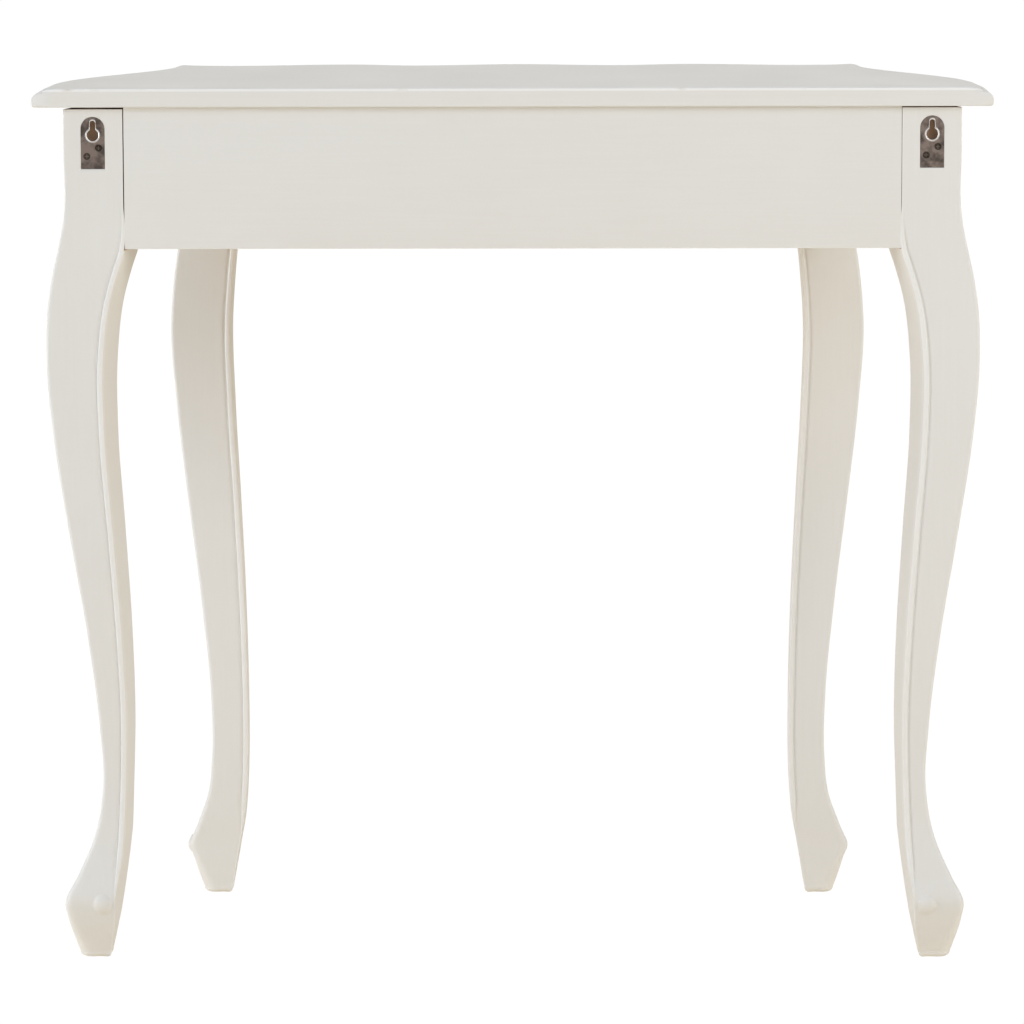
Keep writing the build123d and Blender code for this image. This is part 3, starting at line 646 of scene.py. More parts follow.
@dataclass(frozen=True)
class SatinPaint(Finish):
    """Brushed off-white paint, satin, with a painted highlight on arrises and bare wood where a
    joint hides the surface, painted near-black as shade.
    """

    strokes: Along = Along.X
    light: Colour = (0.778, 0.767, 0.733, 1.0)
    dark: Colour = (0.758, 0.744, 0.706, 1.0)
    painted_highlight: Colour = (0.885, 0.88, 0.86, 1.0)
    thin: Colour = (0.50, 0.40, 0.28, 1.0)
    fresh: Colour = (0.76, 0.50, 0.36, 1.0)
    # near-black colour of bare wood in the joints, a painted shade
    raw: Colour = (0.075, 0.038, 0.018, 1.0)
    gloss: tuple[float, float] = (0.44, 0.60)
    relief: float = 0.000014

    def shade(self, graph: Graph, shader: bpy.types.Node, place: Any) -> None:
        """Two tones of paint by cloud and stroke, a painted highlight and tan wear on arrises, and
        bare wood that darkens to near-black painted shade where fully bare.

        Args:
            graph: the material's graph.
            shader: its Principled shader.
            place: socket with the Object coordinates.
        """
        strokes = {"Vector": place, "Stretch": self.strokes.value}
        brush = graph.group(Brushwork.tree(), strokes).outputs
        tone = graph.math("MULTIPLY", graph.math("ADD", brush["Clouds"], brush["Strokes"]), 0.5)
        film = graph.mix(graph.fit(tone, 0.30, 0.70, 0.0, 1.0), self.light, self.dark)
        arris = graph.add("Attribute", {}, attribute_name=EDGE_HIGHLIGHT_AND_WEAR).outputs["Fac"]
        # painted highlight: arrises are lightened towards a near-white tone for the light they
        # catch
        film = graph.mix(graph.math("MULTIPLY", arris, 0.92), film, self.painted_highlight)
        line = graph.math("POWER", arris, 5.0)
        wear = graph.group(
            ArrisWear.tree(), {"Vector": place, "Arris": line, "Scale": 30.0, "Amount": 0.13}
        )
        highlight_and_wear = graph.mix(graph.math("MULTIPLY", wear.outputs["Mask"], 0.45), film, self.thin)
        # bare wood: fresh timber, darkened to near-black painted shade where fully bare, as in the
        # joints
        bare = graph.add("Attribute", {}, attribute_name=BARE_AND_JOINT_SHADE).outputs["Fac"]
        fibres = graph.noise(graph.stretch(place, Along.Z.value), 500.0, 3.0)
        timber = graph.mix(bare, graph.mix(fibres, self.fresh, self.thin), self.raw)
        cover = graph.math("MINIMUM", graph.math("MULTIPLY", bare, 4.0), 1.0)
        colour = graph.mix(cover, highlight_and_wear, timber)
        low, high = self.gloss
        smears = {"Vector": place, "Scale": 11.0, "Low": low, "High": high}
        gloss = graph.group(Scuffs.tree(), smears)
        rough = graph.math("ADD", gloss.outputs["Roughness"], graph.math("MULTIPLY", bare, 0.3))
        shader.inputs["IOR"].default_value = 1.42
        shader.inputs["Specular IOR Level"].default_value = 0.35
        self.connect(graph, shader, colour, rough, brush["Height"], self.relief)


@dataclass(frozen=True)
class Timber(Finish):
    """Bare or clear-sealed timber with its fibres along one axis."""

    fibres: Along = Along.Y
    early: Colour = (0.66, 0.47, 0.28, 1.0)
    late: Colour = (0.42, 0.25, 0.12, 1.0)
    rings: float = 26.0
    low_gloss: float = 0.55
    relief: float = 0.00012

    def shade(self, graph: Graph, shader: bpy.types.Node, place: Any) -> None:
        """Early wood darkened by late-wood bands and fibres, with broad uneven colour.

        Args:
            graph: the material's graph.
            shader: its Principled shader.
            place: socket with the Object coordinates.
        """
        grain = graph.group(
            WoodGrain.tree(), {"Vector": place, "Stretch": self.fibres.value, "Rings": self.rings}
        ).outputs
        base = graph.mix(graph.fit(grain["Tone"], 0.2, 0.9, 0.0, 0.8), self.early, self.late)
        patch = graph.noise(place, 9.0, 2.0)
        colour = graph.mix(graph.fit(patch, 0.35, 0.7, 0.0, 0.25), base, self.late)
        gloss = graph.group(
            Scuffs.tree(),
            {"Vector": place, "Scale": 30.0, "Low": self.low_gloss, "High": self.low_gloss + 0.2},
        )
        rough = gloss.outputs["Roughness"]
        self.connect(graph, shader, colour, rough, grain["Height"], self.relief)


@dataclass(frozen=True)
class Metal(Finish):
    """Rolled, plated or cast metal with stains, fine scratches and lighter arrises: wear on a
    knob, a painted highlight on a keyhole's lip.
    """

    lines: Along = Along.Z
    main: Colour = (0.5, 0.5, 0.5, 1.0)
    stain: Colour = (0.2, 0.2, 0.2, 1.0)
    metal_highlight_and_wear: Colour = (0.8, 0.8, 0.8, 1.0)
    rough: float = 0.35
    metallic: float = 1.0
    relief: float = 0.00002

    def shade(self, graph: Graph, shader: bpy.types.Node, place: Any) -> None:
        """Main colour mottled by stains, lighter on arrises as wear and as a painted highlight,
        with stretched fine scratches.

        Args:
            graph: the material's graph.
            shader: its Principled shader.
            place: socket with the Object coordinates.
        """
        blotch = graph.noise(place, 130.0, 5.0)
        base = graph.mix(graph.fit(blotch, 0.42, 0.64, 0.0, 0.85), self.main, self.stain)
        arris = graph.add("Attribute", {}, attribute_name=EDGE_HIGHLIGHT_AND_WEAR).outputs["Fac"]
        highlight_and_handling = {"Vector": place, "Arris": arris, "Scale": 400.0, "Amount": 0.5}
        lightened = graph.group(ArrisWear.tree(), highlight_and_handling)
        # lighter metal on marked arrises: wear on the knobs, a painted highlight on the keyhole
        # lips
        colour = graph.mix(lightened.outputs["Mask"], base, self.metal_highlight_and_wear)
        scratch = graph.noise(graph.stretch(place, self.lines.value), 2600.0, 2.0)
        low, high = self.rough - 0.08, self.rough + 0.2
        smears = {"Vector": place, "Scale": 220.0, "Low": low, "High": high}
        gloss = graph.group(Scuffs.tree(), smears)
        shader.inputs["Metallic"].default_value = self.metallic
        self.connect(graph, shader, colour, gloss.outputs["Roughness"], scratch, self.relief)


PAINT_ACROSS = SatinPaint("off_white_paint_brushed_across", Slot.PAINT, Along.X)
PAINT_DOWN = SatinPaint("off_white_paint_brushed_down", Slot.PAINT, Along.Z)
PAINT_DEEP = SatinPaint("off_white_paint_brushed_front_to_back", Slot.PAINT, Along.Y)
PINE_DEEP = Timber("pine_front_to_back", Slot.BARE, Along.Y)
PINE_ACROSS = Timber("pine_across", Slot.BARE, Along.X)
PLYWOOD = Timber(
    "plywood_face", Slot.PLY, Along.Y, (0.68, 0.53, 0.35, 1.0), (0.50, 0.36, 0.21, 1.0), 12.0, 0.6
)
BEECH = Timber(
    "turned_beech", Slot.BEECH, Along.X, (0.66, 0.46, 0.29, 1.0), (0.48, 0.30, 0.17, 1.0), 60.0
)
HANGER_STEEL = Metal(
    "dull_plated_steel",
    Slot.HANGER,
    Along.Z,
    (0.250, 0.205, 0.184, 1.0),
    (0.070, 0.058, 0.053, 1.0),
    (0.92, 0.91, 0.90, 1.0),
    0.40,
    0.75,
)
SCREW_STEEL = Metal(
    "dark_screw_steel",
    Slot.SCREW,
    Along.X,
    (0.085, 0.070, 0.060, 1.0),
    (0.03, 0.025, 0.02, 1.0),
    rough=0.45,
)
ZINC = Metal(
    "zinc_plating", Slot.ZINC, Along.X, (0.58, 0.58, 0.56, 1.0), (0.38, 0.38, 0.37, 1.0)
)
AGED_BRASS = Metal(
    "aged_brass",
    Slot.KNOB,
    Along.Z,
    (0.36, 0.26, 0.13, 1.0),
    (0.16, 0.11, 0.06, 1.0),
    (0.62, 0.48, 0.27, 1.0),
    0.34,
)


# ---- sub-assemblies -------------------------------------------------------------------
def join_frame(piece: bpy.types.Object, finish: Finish, *nodes: str, body: str = "frame") -> None:
    """Dress a new piece, let it stand for its nodes and ride on its body, and report it.

    Args:
        piece: the new piece.
        finish: its finish.
        *nodes: names of the frame's nodes that it stands for.
        body: the body that it moves with.
    """
    finish.dress(piece)
    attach(piece, body)
    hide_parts(*nodes)
    log.info("%s: %d faces, on %s", piece.name, len(piece.data.polygons), body)


@dataclass
class Serpentine:
    """The bowed line that the top's nose and the drawer fronts share."""

    bows: tuple[tuple[float, float], ...] = (
        (0.0, -210.0),
        (97.0, -188.5),
        (165.0, -209.0),
        (272.0, -187.5),
    )
    setback: float = 24.0

    def depth(self, x: Array) -> Array:
        """Depth of the nose line at x: half cosine waves between its crests and hollows.

        Args:
            x: places along the line; both sides are alike.

        Returns:
            The line's Y at each place.
        """
        knots = np.array(self.bows)
        i = np.clip(np.searchsorted(knots[:, 0], np.abs(x), side="right") - 1, 0, len(knots) - 2)
        t = np.clip((np.abs(x) - knots[i, 0]) / (knots[i + 1, 0] - knots[i, 0]), 0.0, 1.0)
        return knots[i, 1] + (knots[i + 1, 1] - knots[i, 1]) * (1 - np.cos(np.pi * t)) / 2

    def board(self, x0: float, x1: float, back: float, ease: float = 1.2) -> Array:
        """Outline of a board whose front follows the line, set back from the top's nose.

        Args:
            x0: the board's left end.
            x1: its right end.
            back: where its back lies.
            ease: how far its upright corners are eased.

        Returns:
            Points in plan, counter-clockwise, shape (n, 2).
        """
        x = np.linspace(x0, x1, max(24, int((x1 - x0) / 3)))
        front = np.stack([x, self.depth(x) + self.setback], axis=1)
        low, high = np.array([x0, back]), np.array([x1, back])
        return np.vstack(
            [
                eased_corner(low, front[0], front[1] + (front[1] - front[0]) * 2, ease),
                front[2:-2],
                eased_corner(front[-2] + (front[-2] - front[-1]) * 2, front[-1], high, ease),
                eased_corner(front[-1], high, low, ease),
                eased_corner(high, low, front[0], ease),
            ]
        )


@dataclass
class TableTop:
    """Thin moulded top: straight back, S-curved sides, bowed front."""

    half: float = 435.0
    back: float = 210.0
    underside: float = 791.0
    height: float = 808.0
    shoulder: float = 130.0
    handle: float = 118.0
    ear: tuple[float, float] = (320.0, -193.0)
    corner: tuple[float, float] = (342.0, -204.0)
    step_in: float = 8.6
    flat_in: float = 19.5
    back_ease: float = 1.5
    end_ease: float = 0.8
    under_ease: float = 3.2
    nose: float = 5.2
    ovolo: float = 8.2
    step: tuple[float, float] = (13.5, 14.0)
    bevel: float = 2.2
    arris_soft: float = 0.8
    back_count: int = 60
    straight_count: int = 13
    nose_highlight: float = 0.4
    line: Serpentine = field(default_factory=Serpentine)

    def half_outline(self, inset: float, count: int = 150) -> Array:
        """Right half of the outline, moved in, from the middle of the front to the back.

        The bows run out to the last hollow, a Bezier curve turns out to the ear's point,
        and a second one sweeps along the side to the straight shoulder.

        Args:
            inset: how far the front and the sides are moved in.
            count: points on the bows.

        Returns:
            Points in plan, counter-clockwise, shape (n, 2).
        """
        hollow_x, hollow_y = self.line.bows[-1]
        x = np.linspace(0.0, hollow_x, count)
        bows = np.stack([x, self.line.depth(x) + inset], axis=1)
        tip = np.array([self.corner[0] - inset, self.corner[1] + inset])
        ear = (self.ear[0] - inset / 2 + 4.0, self.ear[1] + inset + 1.0)
        reach = (hollow_x + 0.45 * (ear[0] - hollow_x), hollow_y + inset)
        flare = bezier(np.array([(hollow_x, hollow_y + inset), reach, ear, tip]), 30)
        half = self.half - inset
        side = [tip, (tip[0], tip[1] + self.handle)]
        side += [(half, self.shoulder - self.handle), (half, self.shoulder)]
        sweep = bezier(np.array(side), 100)
        radius = min(1.5, np.hypot(*(tip - flare[-3])) * 0.9)
        eased = eased_corner(flare[-3], tip, sweep[2], radius)
        n = self.straight_count
        y = np.linspace(self.shoulder, self.back - self.end_ease, n + 1)[1:]
        straight = np.stack([np.full(n, half), y], axis=1)
        return np.vstack([bows, flare[1:-3], eased, sweep[3:], straight])

    def profile(self) -> tuple[Array, Array, Array]:
        """Heights, side insets and back insets of the moulding, from underside to top.

        From below: an eased underside, a short upright nose, a quarter ellipse in to the
        step, a small upright step, and a low bevel that rolls over on to the flat. The
        back is set in only by a quarter circle at each arris.

        Returns:
            The heights, the insets of front and sides, and the insets of the back.
        """
        a = np.linspace(0.0, np.pi / 2, 13)
        under_z = self.underside + self.under_ease * (1 - np.cos(a[::3]))
        under_in = self.under_ease * (1 - np.sin(a[::3]))
        ovolo_z = self.underside + self.nose + self.ovolo * np.sin(a)
        ovolo_in = self.step_in * (1 - np.cos(a))
        step_z = self.underside + np.array(self.step)
        step_in = self.step_in + np.array([0.9, 1.2])
        bevel = np.linspace(0.0, 1.0, 9)
        bevel_start = self.step_in + 1.4
        bevel_in = bevel_start + (self.flat_in - bevel_start) * bevel
        bevel_z = self.height - self.bevel + self.bevel * np.sin(bevel * np.pi / 2) ** 0.9
        z = np.concatenate([under_z, ovolo_z, step_z, bevel_z])
        inset = np.concatenate([under_in, ovolo_in, step_in, bevel_in])

        def quarter(radius: float, past: Array) -> Array:
            """Inset of a quarter circle at a distance past its start."""
            left = np.maximum(0.0, radius**2 - np.maximum(0.0, past) ** 2)
            return radius - np.sqrt(left)

        roll = quarter(self.back_ease, z - self.height + self.back_ease)
        soft = quarter(self.arris_soft, self.underside + self.arris_soft - z)
        return z, inset, roll + soft

    def build(self) -> None:
        """Carry the moulding round the outline; the back edge stays square to the floor.

        The outline is worked out afresh for each inset. The nose is marked for a painted
        highlight, and the back's upper arris for a painted highlight with tan wear.
        """
        z, side_in, back_in = self.profile()
        rows = []
        for level, inset, set_in in zip(z, side_in, back_in):
            right = self.half_outline(inset)
            n = self.straight_count
            right[-n:, 1] -= set_in * np.linspace(0.0, 1.0, n)
            end = self.half - inset - self.end_ease
            x = np.linspace(end, -end, self.back_count)
            rear = np.stack([x, np.full(self.back_count, self.back - set_in)], axis=1)
            plan = np.vstack([right, rear, right[:0:-1] * (-1, 1)])
            rows.append(np.column_stack([plan, np.full(len(plan), level)]))
        solid = np.array(rows)
        highlight_and_wear = np.zeros(solid.shape[:2])
        # painted highlight along the nose
        highlight_and_wear[(side_in < 0.3) & (z < self.height - 9)] = self.nose_highlight
        sides = len(self.half_outline(0.0))
        # painted highlight with patches of tan wear along the back's upper arris
        rolled = (z > self.height - self.bevel - 0.1) & (z < self.height - 0.02)
        highlight_and_wear[:, sides : sides + self.back_count] = rolled[:, None]
        join_frame(skin("top_slab", solid, {EDGE_HIGHLIGHT_AND_WEAR: highlight_and_wear}), PAINT_ACROSS, "top_panel")


class Station(NamedTuple):
    """One level of a leg: its height, its four sides, and the easing of its corners."""

    z: float
    outer: float
    inner: float
    back: float
    front: float
    ease: float


REAR_STATIONS = (
    Station(0.0, 403.0, 375.5, 170.5, 136.5, 12.5),
    Station(13.0, 407.0, 373.0, 177.5, 139.0, 12.5),
    Station(27.0, 411.0, 371.0, 185.0, 141.5, 11.0),
    Station(41.0, 414.0, 369.5, 191.5, 143.0, 9.0),
    Station(55.0, 415.6, 368.8, 196.0, 143.8, 7.5),
    Station(80.0, 404.0, 367.0, 191.5, 143.5, 6.0),
    Station(112.0, 390.0, 364.5, 185.0, 143.0, 5.0),
    Station(160.0, 380.6, 362.0, 182.5, 144.0, 4.0),
    Station(220.0, 382.8, 360.5, 186.0, 145.5, 4.0),
    Station(300.0, 391.5, 363.0, 193.5, 148.0, 4.0),
    Station(400.0, 407.0, 369.5, 200.5, 150.0, 4.0),
    Station(490.0, 420.0, 376.0, 203.0, 149.0, 4.0),
    Station(560.0, 425.5, 376.5, 203.0, 146.0, 4.0),
    Station(615.0, 423.0, 369.5, 203.0, 146.5, 4.0),
    Station(640.0, 418.5, 362.5, 203.0, 147.0, 3.5),
    Station(662.0, 413.5, 355.5, 203.0, 147.0, 3.0),
    Station(681.0, 409.5, 353.0, 203.0, 147.0, 3.0),
    Station(700.0, 407.0, 353.0, 203.0, 147.0, 2.5),
    Station(745.0, 407.0, 353.0, 203.0, 147.0, 1.5),
    Station(790.2, 407.0, 353.0, 203.0, 147.0, 1.5),
)

FRONT_STATIONS = (
    Station(0.0, 307.0, 281.5, -128.0, -158.0, 12.0),
    Station(10.0, 311.0, 279.5, -127.0, -163.0, 12.0),
    Station(22.0, 315.0, 277.5, -125.5, -168.5, 10.5),
    Station(34.0, 318.5, 275.5, -124.0, -173.0, 9.0),
    Station(46.0, 322.3, 273.5, -123.0, -177.0, 7.5),
    Station(70.0, 314.5, 269.0, -119.5, -168.0, 6.0),
    Station(98.0, 304.5, 266.0, -116.5, -157.0, 5.0),
    Station(140.0, 299.4, 264.0, -114.0, -151.0, 4.0),
    Station(200.0, 300.2, 264.0, -114.0, -152.0, 4.0),
    Station(290.0, 308.5, 266.5, -116.5, -160.5, 4.0),
    Station(390.0, 320.8, 271.5, -121.0, -172.5, 4.0),
    Station(480.0, 331.0, 276.5, -124.5, -182.0, 4.0),
    Station(560.0, 336.0, 278.5, -126.0, -187.0, 4.0),
    Station(610.0, 332.0, 275.0, -123.5, -183.0, 4.0),
    Station(650.0, 325.8, 271.0, -121.2, -175.8, 3.0),
    Station(675.0, 323.0, 270.0, -120.3, -173.0, 3.0),
    Station(700.0, 322.0, 270.0, -120.0, -172.0, 2.5),
    Station(745.0, 322.0, 270.0, -120.0, -172.0, 2.5),
    Station(790.2, 322.0, 270.0, -120.0, -172.0, 2.5),
)


@dataclass(frozen=True)
class Swelling:
    """Low oval swelling on one side of a foot: 0 for its outer side, 1 for its back."""

    axis: int
    place: tuple[float, float]
    reach: tuple[float, float]
    high: float
    clear: float = 6.0

    def raise_on(self, rows: Array) -> None:
        """Push out the points that face the swelling's way.

        Each moves by the height times the 0.6th power of one minus the squared distance
        from the middle, measured in shares of the oval's reach.

        Args:
            rows: the leg's points, changed in place.
        """
        off = ((rows[..., 1 - self.axis] - self.place[0]) / self.reach[0]) ** 2
        off += ((rows[..., 2] - self.place[1]) / self.reach[1]) ** 2
        face = rows[..., self.axis]
        facing = face > face.mean(axis=1, keepdims=True) + self.clear
        rows[..., self.axis] += facing * self.high * np.clip(1 - off, 0.0, 1.0) ** 0.6


@dataclass
class CabrioleLeg:
    """Curved leg with a scratched bead down its inner back arris and a small foot."""

    side: Side
    row: str
    stations: tuple[Station, ...]
    inner_cant: float
    bead_in: float
    swelling: Swelling
    top_drop: float = 0.9
    bead_top: tuple[float, float] = (650.0, 705.0)
    bead_foot: tuple[float, float] = (56.0, 100.0)
    outer_cant: float = 13.0
    lean_full: float = 120.0
    sole_ease: float = 5.0
    top_ease: float = 0.6
    bead_highlight: float = 0.55
    apron_low: float = 661.5
    edges: tuple[int, ...] = (14, 5, 8, 2, 4, 1, 1, 30)
    # share of each corner in the painted highlight and tan wear
    weights: tuple[float, ...] = (0.25, 0.25, 0.25, 0.4, 0.6, 0.5, 0.0, 0.0)

    def levels(self) -> Array:
        """Heights of the rows: close together in the foot, wider apart above it.

        Returns:
            Rising heights, from the rounded sole to the eased upper end.
        """
        sole, top = self.sole_ease, self.stations[-1].z - self.top_drop - self.top_ease
        foot = np.arange(sole, self.lean_full, 1.25)
        return np.concatenate([foot, np.linspace(self.lean_full, top, 230)])

    def corners(self, z: Array) -> tuple[Array, Array]:
        """Corner points and easing of the leg's section at each height.

        The section leans: its outer and inner sides run inwards towards the front by the
        tangent of their cant. Round the inner back corner five points make the flat bead
        and the groove scratched beside it, which fade out at the post and at the foot.

        Args:
            z: heights of the sections.

        Returns:
            Corner points, shape (heights, 8, 2), and their easing, shape (heights, 8).
        """
        table = np.array(self.stations)
        outer, inner, back, front, ease = (
            smooth_curve(z, table[:, 0], table[:, k]) for k in range(1, 6)
        )
        run = back - front
        foot = np.clip(z / self.lean_full, 0.0, 1.0)
        lean_out = run * np.tan(np.radians(self.outer_cant)) * foot
        slope_in = np.tan(np.radians(self.inner_cant)) * foot
        bead = (1 - ramp(z, *self.bead_top)) * ramp(z, *self.bead_foot)
        crest = inner - self.bead_in * bead
        inner_front = inner - run * slope_in
        slope = (crest - inner_front) / run
        down = 0.7 + 3.4 * bead
        points = [
            (outer, back),
            (outer - lean_out, front),
            (inner_front, front),
            (crest - down * slope, back - down),
            (crest + 0.2 * bead, back + 0.6 * bead),
            (crest + 0.9 + 3.5 * bead, back + 0.6 * bead),
            (crest + 1.8 + 3.6 * bead, back - 1.4 * bead),
            (crest + 2.7 + 4.9 * bead, back),
        ]
        eases = [ease, ease, ease, 0.3 + 1.3 * bead, 0.3 + 1.5 * bead]
        eases += [0.3 + 0.7 * bead, 0.3 + 0.7 * bead, 0.3 + 0.7 * bead]
        corners = np.stack([np.stack(p, axis=-1) for p in points], axis=-2)
        return corners, np.stack(eases, axis=-1)

    def rows(self) -> tuple[Array, Array]:
        """Rounded sections up the leg, closed by a rounded sole and an eased upper end.

        Returns:
            Rows of points, shape (rows, columns, 3), and the mask of the arrises' painted
            highlight and wear.
        """
        z = self.levels()
        corners, eases = self.corners(z)
        ring, highlight_and_wear = rounded_ring(corners, eases, self.edges, self.weights)
        low, high = corners[:, 4, None], corners[:, 5, None]
        on_strip = (ring[..., 0] > low[..., 0]) & (ring[..., 0] < high[..., 0] + 0.2)
        on_strip &= ring[..., 1] > low[..., 1] - 0.8
        strip = ramp(z, *self.bead_foot) * (1 - ramp(z, *self.bead_top))
        # the bead's flat strip gets a painted highlight
        highlight_and_wear = np.maximum(highlight_and_wear, self.bead_highlight * on_strip * strip[:, None])
        level = np.broadcast_to(z[:, None, None], ring.shape[:2] + (1,))
        rows = np.concatenate([ring, level], axis=-1)
        a = np.linspace(0.0, np.pi / 2, 7)[:-1]
        inset, lift = 1 - np.sin(a), 1 - np.cos(a)
        sole = self.pulled_in(rows[0], self.sole_ease * inset, self.sole_ease * lift)
        top_z = self.stations[-1].z - self.top_drop - self.top_ease * lift[::-1]
        top = self.pulled_in(rows[-1], self.top_ease * inset[::-1], top_z)
        pad = np.repeat(highlight_and_wear[:1], len(a), axis=0)
        return np.concatenate([sole, rows, top]), np.concatenate([pad, highlight_and_wear, pad * 0.0])

    @staticmethod
    def pulled_in(ring: Array, insets: Array, heights: Array) -> Array:
        """Copies of a ring, drawn towards its middle along the spokes to its points.

        Args:
            ring: points of the ring, shape (n, 3).
            insets: how far each copy is drawn in.
            heights: height of each copy.

        Returns:
            The copies, shape (copies, n, 3).
        """
        middle = ring[:, :2].mean(axis=0)
        spoke = ring[:, :2] - middle
        unit = spoke / np.linalg.norm(spoke, axis=1, keepdims=True)
        plan = ring[None, :, :2] - unit[None] * insets[:, None, None]
        level = np.broadcast_to(heights[:, None, None], plan.shape[:2] + (1,))
        return np.concatenate([plan, level], axis=-1)

    def build(self) -> bpy.types.Object:
        """Make the leg on its side of the table; where a board meets it, it is bare wood painted
        near-black as joint shade.

        Returns:
            The new piece, not yet dressed.
        """
        rows, highlight_and_wear = self.rows()
        self.swelling.raise_on(rows)
        post = self.stations[-1]
        # near-black painted shade on the post's inner side above the apron and on its upper end,
        # in the joints
        inner = (rows[..., 0] < post.inner + 0.5) & (rows[..., 2] > self.apron_low)
        raw = (inner & (rows[..., 1] < post.back - 0.3)).astype(float)
        raw[-3:] = 1.0
        rows[..., 0] *= self.side.value
        if self.side is Side.RIGHT:
            rows, highlight_and_wear, raw = rows[:, ::-1], highlight_and_wear[:, ::-1], raw[:, ::-1]
        return skin(f"{self.row}_leg_{self.side.label}", rows, {EDGE_HIGHLIGHT_AND_WEAR: highlight_and_wear, BARE_AND_JOINT_SHADE: raw})


@dataclass
class HangerPlate:
    """Flush steel hanger with a rolled keyhole, let into the back of a rear leg."""

    side: Side
    x: float = 380.0
    face: float = 203.0
    head_z: float = 765.5
    head_r: float = 5.25
    slot_r: float = 2.5
    slot_up: float = 10.7
    half: float = 10.8
    above: float = 16.5
    below: float = 30.5
    thick: float = 2.0
    lip: float = 0.45
    lip_wide: float = 1.6
    rim_in: float = 0.3
    rim_drop: float = 0.35
    holes: tuple[tuple[float, float], ...] = ((-5.2, -11.5), (5.4, -19.1))
    hole_r: float = 3.5
    seat_deep: float = 1.6
    seat_slope: float = 0.45
    pocket_gap: float = 0.15
    recess_wide: float = 1.5
    recess_deep: float = 11.0
    fresh_cut: float = 0.25
    ring_count: int = 36

    def keyhole(self, angle: Array, grow: float = 0.0) -> Array:
        """Radius of the keyhole at each angle from straight up, about its round head.

        It is the larger of the head's radius and the slot's: the slot's straight sides
        where they come first, and elsewhere its round end, met by the line at that angle.

        Args:
            angle: angles counter-clockwise from straight up.
            grow: how much larger than the plate's own keyhole the outline is.

        Returns:
            The radius at each angle.
        """
        wide, up = self.slot_r + grow, self.slot_up
        sine, cosine = np.sin(angle), np.cos(angle)
        sides = wide / np.maximum(np.abs(sine), 1e-9)
        inside = np.maximum(wide**2 - (up * sine) ** 2, 0.0)
        end = up * cosine + np.sqrt(inside)
        slot = np.where(sides * cosine > up, end, np.minimum(sides, end + 1e3 * (inside <= 0)))
        slot = np.where(cosine > 0, slot, 0.0)
        return np.maximum(self.head_r + grow, slot)

    def edge(self, angle: Array, grow: float = 0.0) -> Array:
        """Radius of the plate's outline at each angle: round above, square below.

        Args:
            angle: angles counter-clockwise from straight up, about the keyhole's head.
            grow: how much larger than the plate the outline is.

        Returns:
            The radius at each angle.
        """
        half, low = self.half + grow, self.below + grow
        sine, cosine = np.sin(angle), np.cos(angle)
        sides = half / np.maximum(np.abs(sine), 1e-9)
        foot = np.where(cosine < 0, low / np.maximum(-cosine, 1e-9), 1e9)
        up = self.above - self.half
        crown = up * cosine + np.sqrt(np.maximum(half**2 - (up * sine) ** 2, 0.0))
        return np.where(np.minimum(sides, foot) * cosine > up, crown, np.minimum(sides, foot))

    def angles(self) -> Array:
        """Angles counter-clockwise from straight up, with the square corners among them.

        Returns:
            Rising angles in radians, shape (n,).
        """
        corner = np.pi - np.arctan2(self.half, self.below)
        even = np.linspace(0.0, 2 * np.pi, 360, endpoint=False)
        return np.sort(np.concatenate([even, [corner, 2 * np.pi - corner]]))

    def ring(self, radius: Array, angle: Array) -> Array:
        """Points at a radius for each angle, counter-clockwise as seen from behind."""
        return np.stack([-radius * np.sin(angle), radius * np.cos(angle)], axis=-1)

    def cutter(self, name: str, radius: Array, angle: Array, deep: float) -> bpy.types.Object:
        """A plug that cuts a hollow into the leg.

        Args:
            name: name of the plug.
            radius: the hollow's radius at each angle.
            angle: angles counter-clockwise from straight up.
            deep: depth of the hollow.

        Returns:
            The plug, standing proud of the leg by the plate's thickness.
        """
        plan = (self.ring(radius, angle) * (-1, 1))[::-1]
        rows = np.stack([np.insert(plan, 2, h, axis=1) for h in (-self.thick, deep)])
        solid = turned(rows, (self.side.value * self.x, self.face, self.head_z))
        return skin(name, solid, {EDGE_HIGHLIGHT_AND_WEAR: np.zeros(rows.shape[:2]), BARE_AND_JOINT_SHADE: np.ones(rows.shape[:2])})

    def let_in(self, leg: bpy.types.Object) -> None:
        """Cut the plate's pocket and the bored recess behind its keyhole out of a leg.

        Args:
            leg: the rear leg, cut in place; its new faces are marked as fresh wood.
        """
        angle, gap = self.angles(), self.pocket_gap
        pocket = self.cutter("pocket", self.edge(angle, gap), angle, self.thick + gap)
        wide = self.keyhole(angle, self.recess_wide)
        recess = self.cutter("recess", wide, angle, self.recess_deep)
        cut_away(leg, [pocket, recess])
        count = len(leg.data.vertices)
        places = np.empty(count * 3)
        leg.data.vertices.foreach_get("co", places)
        x, y, z = places.reshape(-1, 3).T / MM
        sunk = (self.face - 0.4 > y) & (y > self.face - self.recess_deep - 0.6)
        beside = np.hypot(x - self.side.value * self.x, z - self.head_z) < self.below + self.half
        inside = np.abs(x - self.side.value * self.x) < self.half + 1.0
        raw = np.empty(count)
        leg.data.attributes[BARE_AND_JOINT_SHADE].data.foreach_get("value", raw)
        # fresh wood in the pocket and recess, a quarter of the way to the joints' near-black
        # painted shade
        raw[sunk & beside & inside] = self.fresh_cut
        leg.data.attributes[BARE_AND_JOINT_SHADE].data.foreach_set("value", raw)

